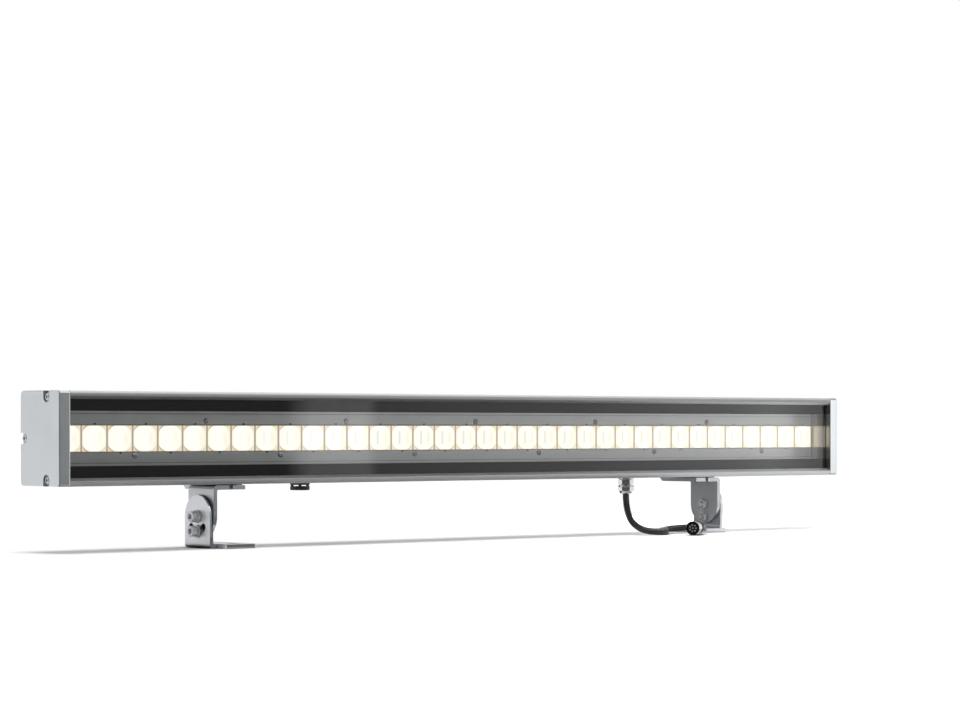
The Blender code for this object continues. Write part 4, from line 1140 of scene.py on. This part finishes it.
# cards that only mirrors see: two corners in metres, and greys along x
studioCards = {
    "frontCard": {"from": (-0.3, -1.5, 0.0), "to": (2.7, -1.5, 0.75), "greys": [
        (-0.3, 0.28), (0.86, 0.28), (0.91, 1.45), (1.03, 1.6), (1.042, 0.78), (1.5, 1.2), (1.88, 1.9),
        (1.98, 2.4), (2.04, 2.0), (2.1, 1.5), (2.7, 1.45)]},
    "nearFloorFlag": {"from": (-0.9, -0.13, 0.001), "to": (0.9, -0.0355, 0.001), "greys": [
        (-0.9, 0.5), (-0.36, 0.5), (-0.33, 0.18), (-0.24, 0.18), (-0.2, 0.5), (0.29, 0.5), (0.33, 1.4),
        (0.9, 1.4)]},
    "midFloorFlag": {"from": (0.3, -1.5, 0.001), "to": (0.9, -0.13, 0.001), "greys": [
        (0.3, 0.42), (0.42, 0.42), (0.5, 1.1), (0.9, 1.1)]},
    "cameraFloorFlag": {"from": (-2.5, -2.9, 0.001), "to": (0.3, -0.13, 0.001), "greys": [(-2.5, 0.12)]},
    "rearFlag": {"from": (-0.45, 0.6, 0.0), "to": (0.0, 0.6, 0.7), "greys": [(-0.45, 0.05)]},
    "rearFloorFlag": {"from": (-0.3, 0.05, 0.001), "to": (0.33, 0.6, 0.001), "greys": [(-0.3, 0.09)]},
    "skyCard": {"from": (-0.2, -0.95, 1.2), "to": (2.2, 0.3, 1.2), "greys": [
        (-0.2, 2.6), (1.6, 2.6), (1.68, 0.6), (2.2, 0.6)]},
    "rightFlag": {"from": (1.5, 1.7, 0.0), "to": (2.6, 1.7, 0.8), "greys": [(1.5, 0.45)]},
    "leftFlag": {"from": (-2.5, 0.25, 0.0), "to": (-2.5, -2.9, 1.6), "greys": [(-2.5, 0.08)]},
    "cameraFlag": {"from": (-2.5, -2.9, 0.0), "to": (0.3, -2.9, 1.6), "greys": [(-2.5, 0.06)]},
}


def makeCardGlow(name, look):
    material, tree, shader = startMaterial(name)
    tree.nodes.remove(shader)
    low = look["from"][0]
    wide = (look["to"][0] - low) or 1.0
    stops = look["greys"] if len(look["greys"]) > 1 else look["greys"] * 2
    brightest = max(grey for x, grey in stops)
    along = addNode(tree, "SeparateXYZ", {0: objectPlace(tree)}).outputs[0]
    ramp = addNode(tree, "ValToRGB", {0: spread(tree, along, 0.0, 1.0, low, low + wide)})
    marks = ramp.color_ramp.elements
    while len(marks) < len(stops):
        marks.new(0.5)
    for mark, (x, grey) in zip(marks, stops):
        tone = grey / brightest
        mark.position = (x - low) / wide
        mark.color = (tone, tone, tone, 1)
    glow = addNode(tree, "Emission", {"Color": ramp.outputs[0], "Strength": brightest})
    tree.links.new(glow.outputs[0], tree.nodes["Material Output"].inputs["Surface"])
    return material


def makeCards():
    for name, look in studioCards.items():
        material = makeCardGlow(name, look)
        deselectAll()
        bpy.ops.mesh.primitive_plane_add(size=1)
        card = bpy.context.object
        card.name = name
        first, last = look["from"], look["to"]
        if first[2] == last[2]:
            corners = [first, (last[0], first[1], first[2]), (first[0], last[1], last[2]), last]
        else:
            corners = [first, (last[0], last[1], first[2]), (first[0], first[1], last[2]), last]
        for vert, place in zip(card.data.vertices, corners):
            vert.co = place
        card.data.materials.append(material)
        for kind in ("camera", "diffuse", "transmission", "shadow", "volume_scatter"):
            setattr(card, "visible_" + kind, False)


def makeLamps():
    lamp = {"turn": (1, 0, 0), "spread": 24, "power": 2.1}
    bpy.ops.object.light_add(type="SUN", rotation=[math.radians(part) for part in lamp["turn"]])
    overhead = bpy.context.object
    overhead.name = "overhead"
    overhead.data.angle = math.radians(lamp["spread"])
    overhead.data.energy = lamp["power"]
    overhead.visible_glossy = False
    fill = {"place": (0.60, 0.42, 0.2), "aim": (0.42, 0.0, 0.0), "size": 0.25, "power": 2.5}
    way = Vector(fill["aim"]) - Vector(fill["place"])
    turn = way.to_track_quat("-Z", "Y").to_euler()
    bpy.ops.object.light_add(type="AREA", location=fill["place"], rotation=turn)
    rightFill = bpy.context.object
    rightFill.name = "rightFill"
    rightFill.data.size = fill["size"]
    rightFill.data.energy = fill["power"]
    rightFill.visible_glossy = False


def makeWorld():
    # the room's own light is stronger from the front
    room = {"front": 0.74, "back": 0.10, "shown": 1.0}
    world = bpy.context.scene.world or bpy.data.worlds.new("studio")
    bpy.context.scene.world = world
    world.use_nodes = True
    tree = world.node_tree
    tree.nodes.clear()
    way = addNode(tree, "SeparateXYZ", {0: objectPlace(tree)}).outputs[1]
    light = spread(tree, way, room["front"], room["back"], -1.0, 1.0)
    strength = blendNumbers(tree, shownRays(tree), light, room["shown"])
    sky = addNode(tree, "Background", {"Color": (1, 1, 1, 1), "Strength": strength})
    addNode(tree, "OutputWorld", {0: sky.outputs[0]})


makeFloor()
makeCards()
makeLamps()
makeWorld()
bpy.context.scene.view_settings.view_transform = "Standard"
print("studio made")
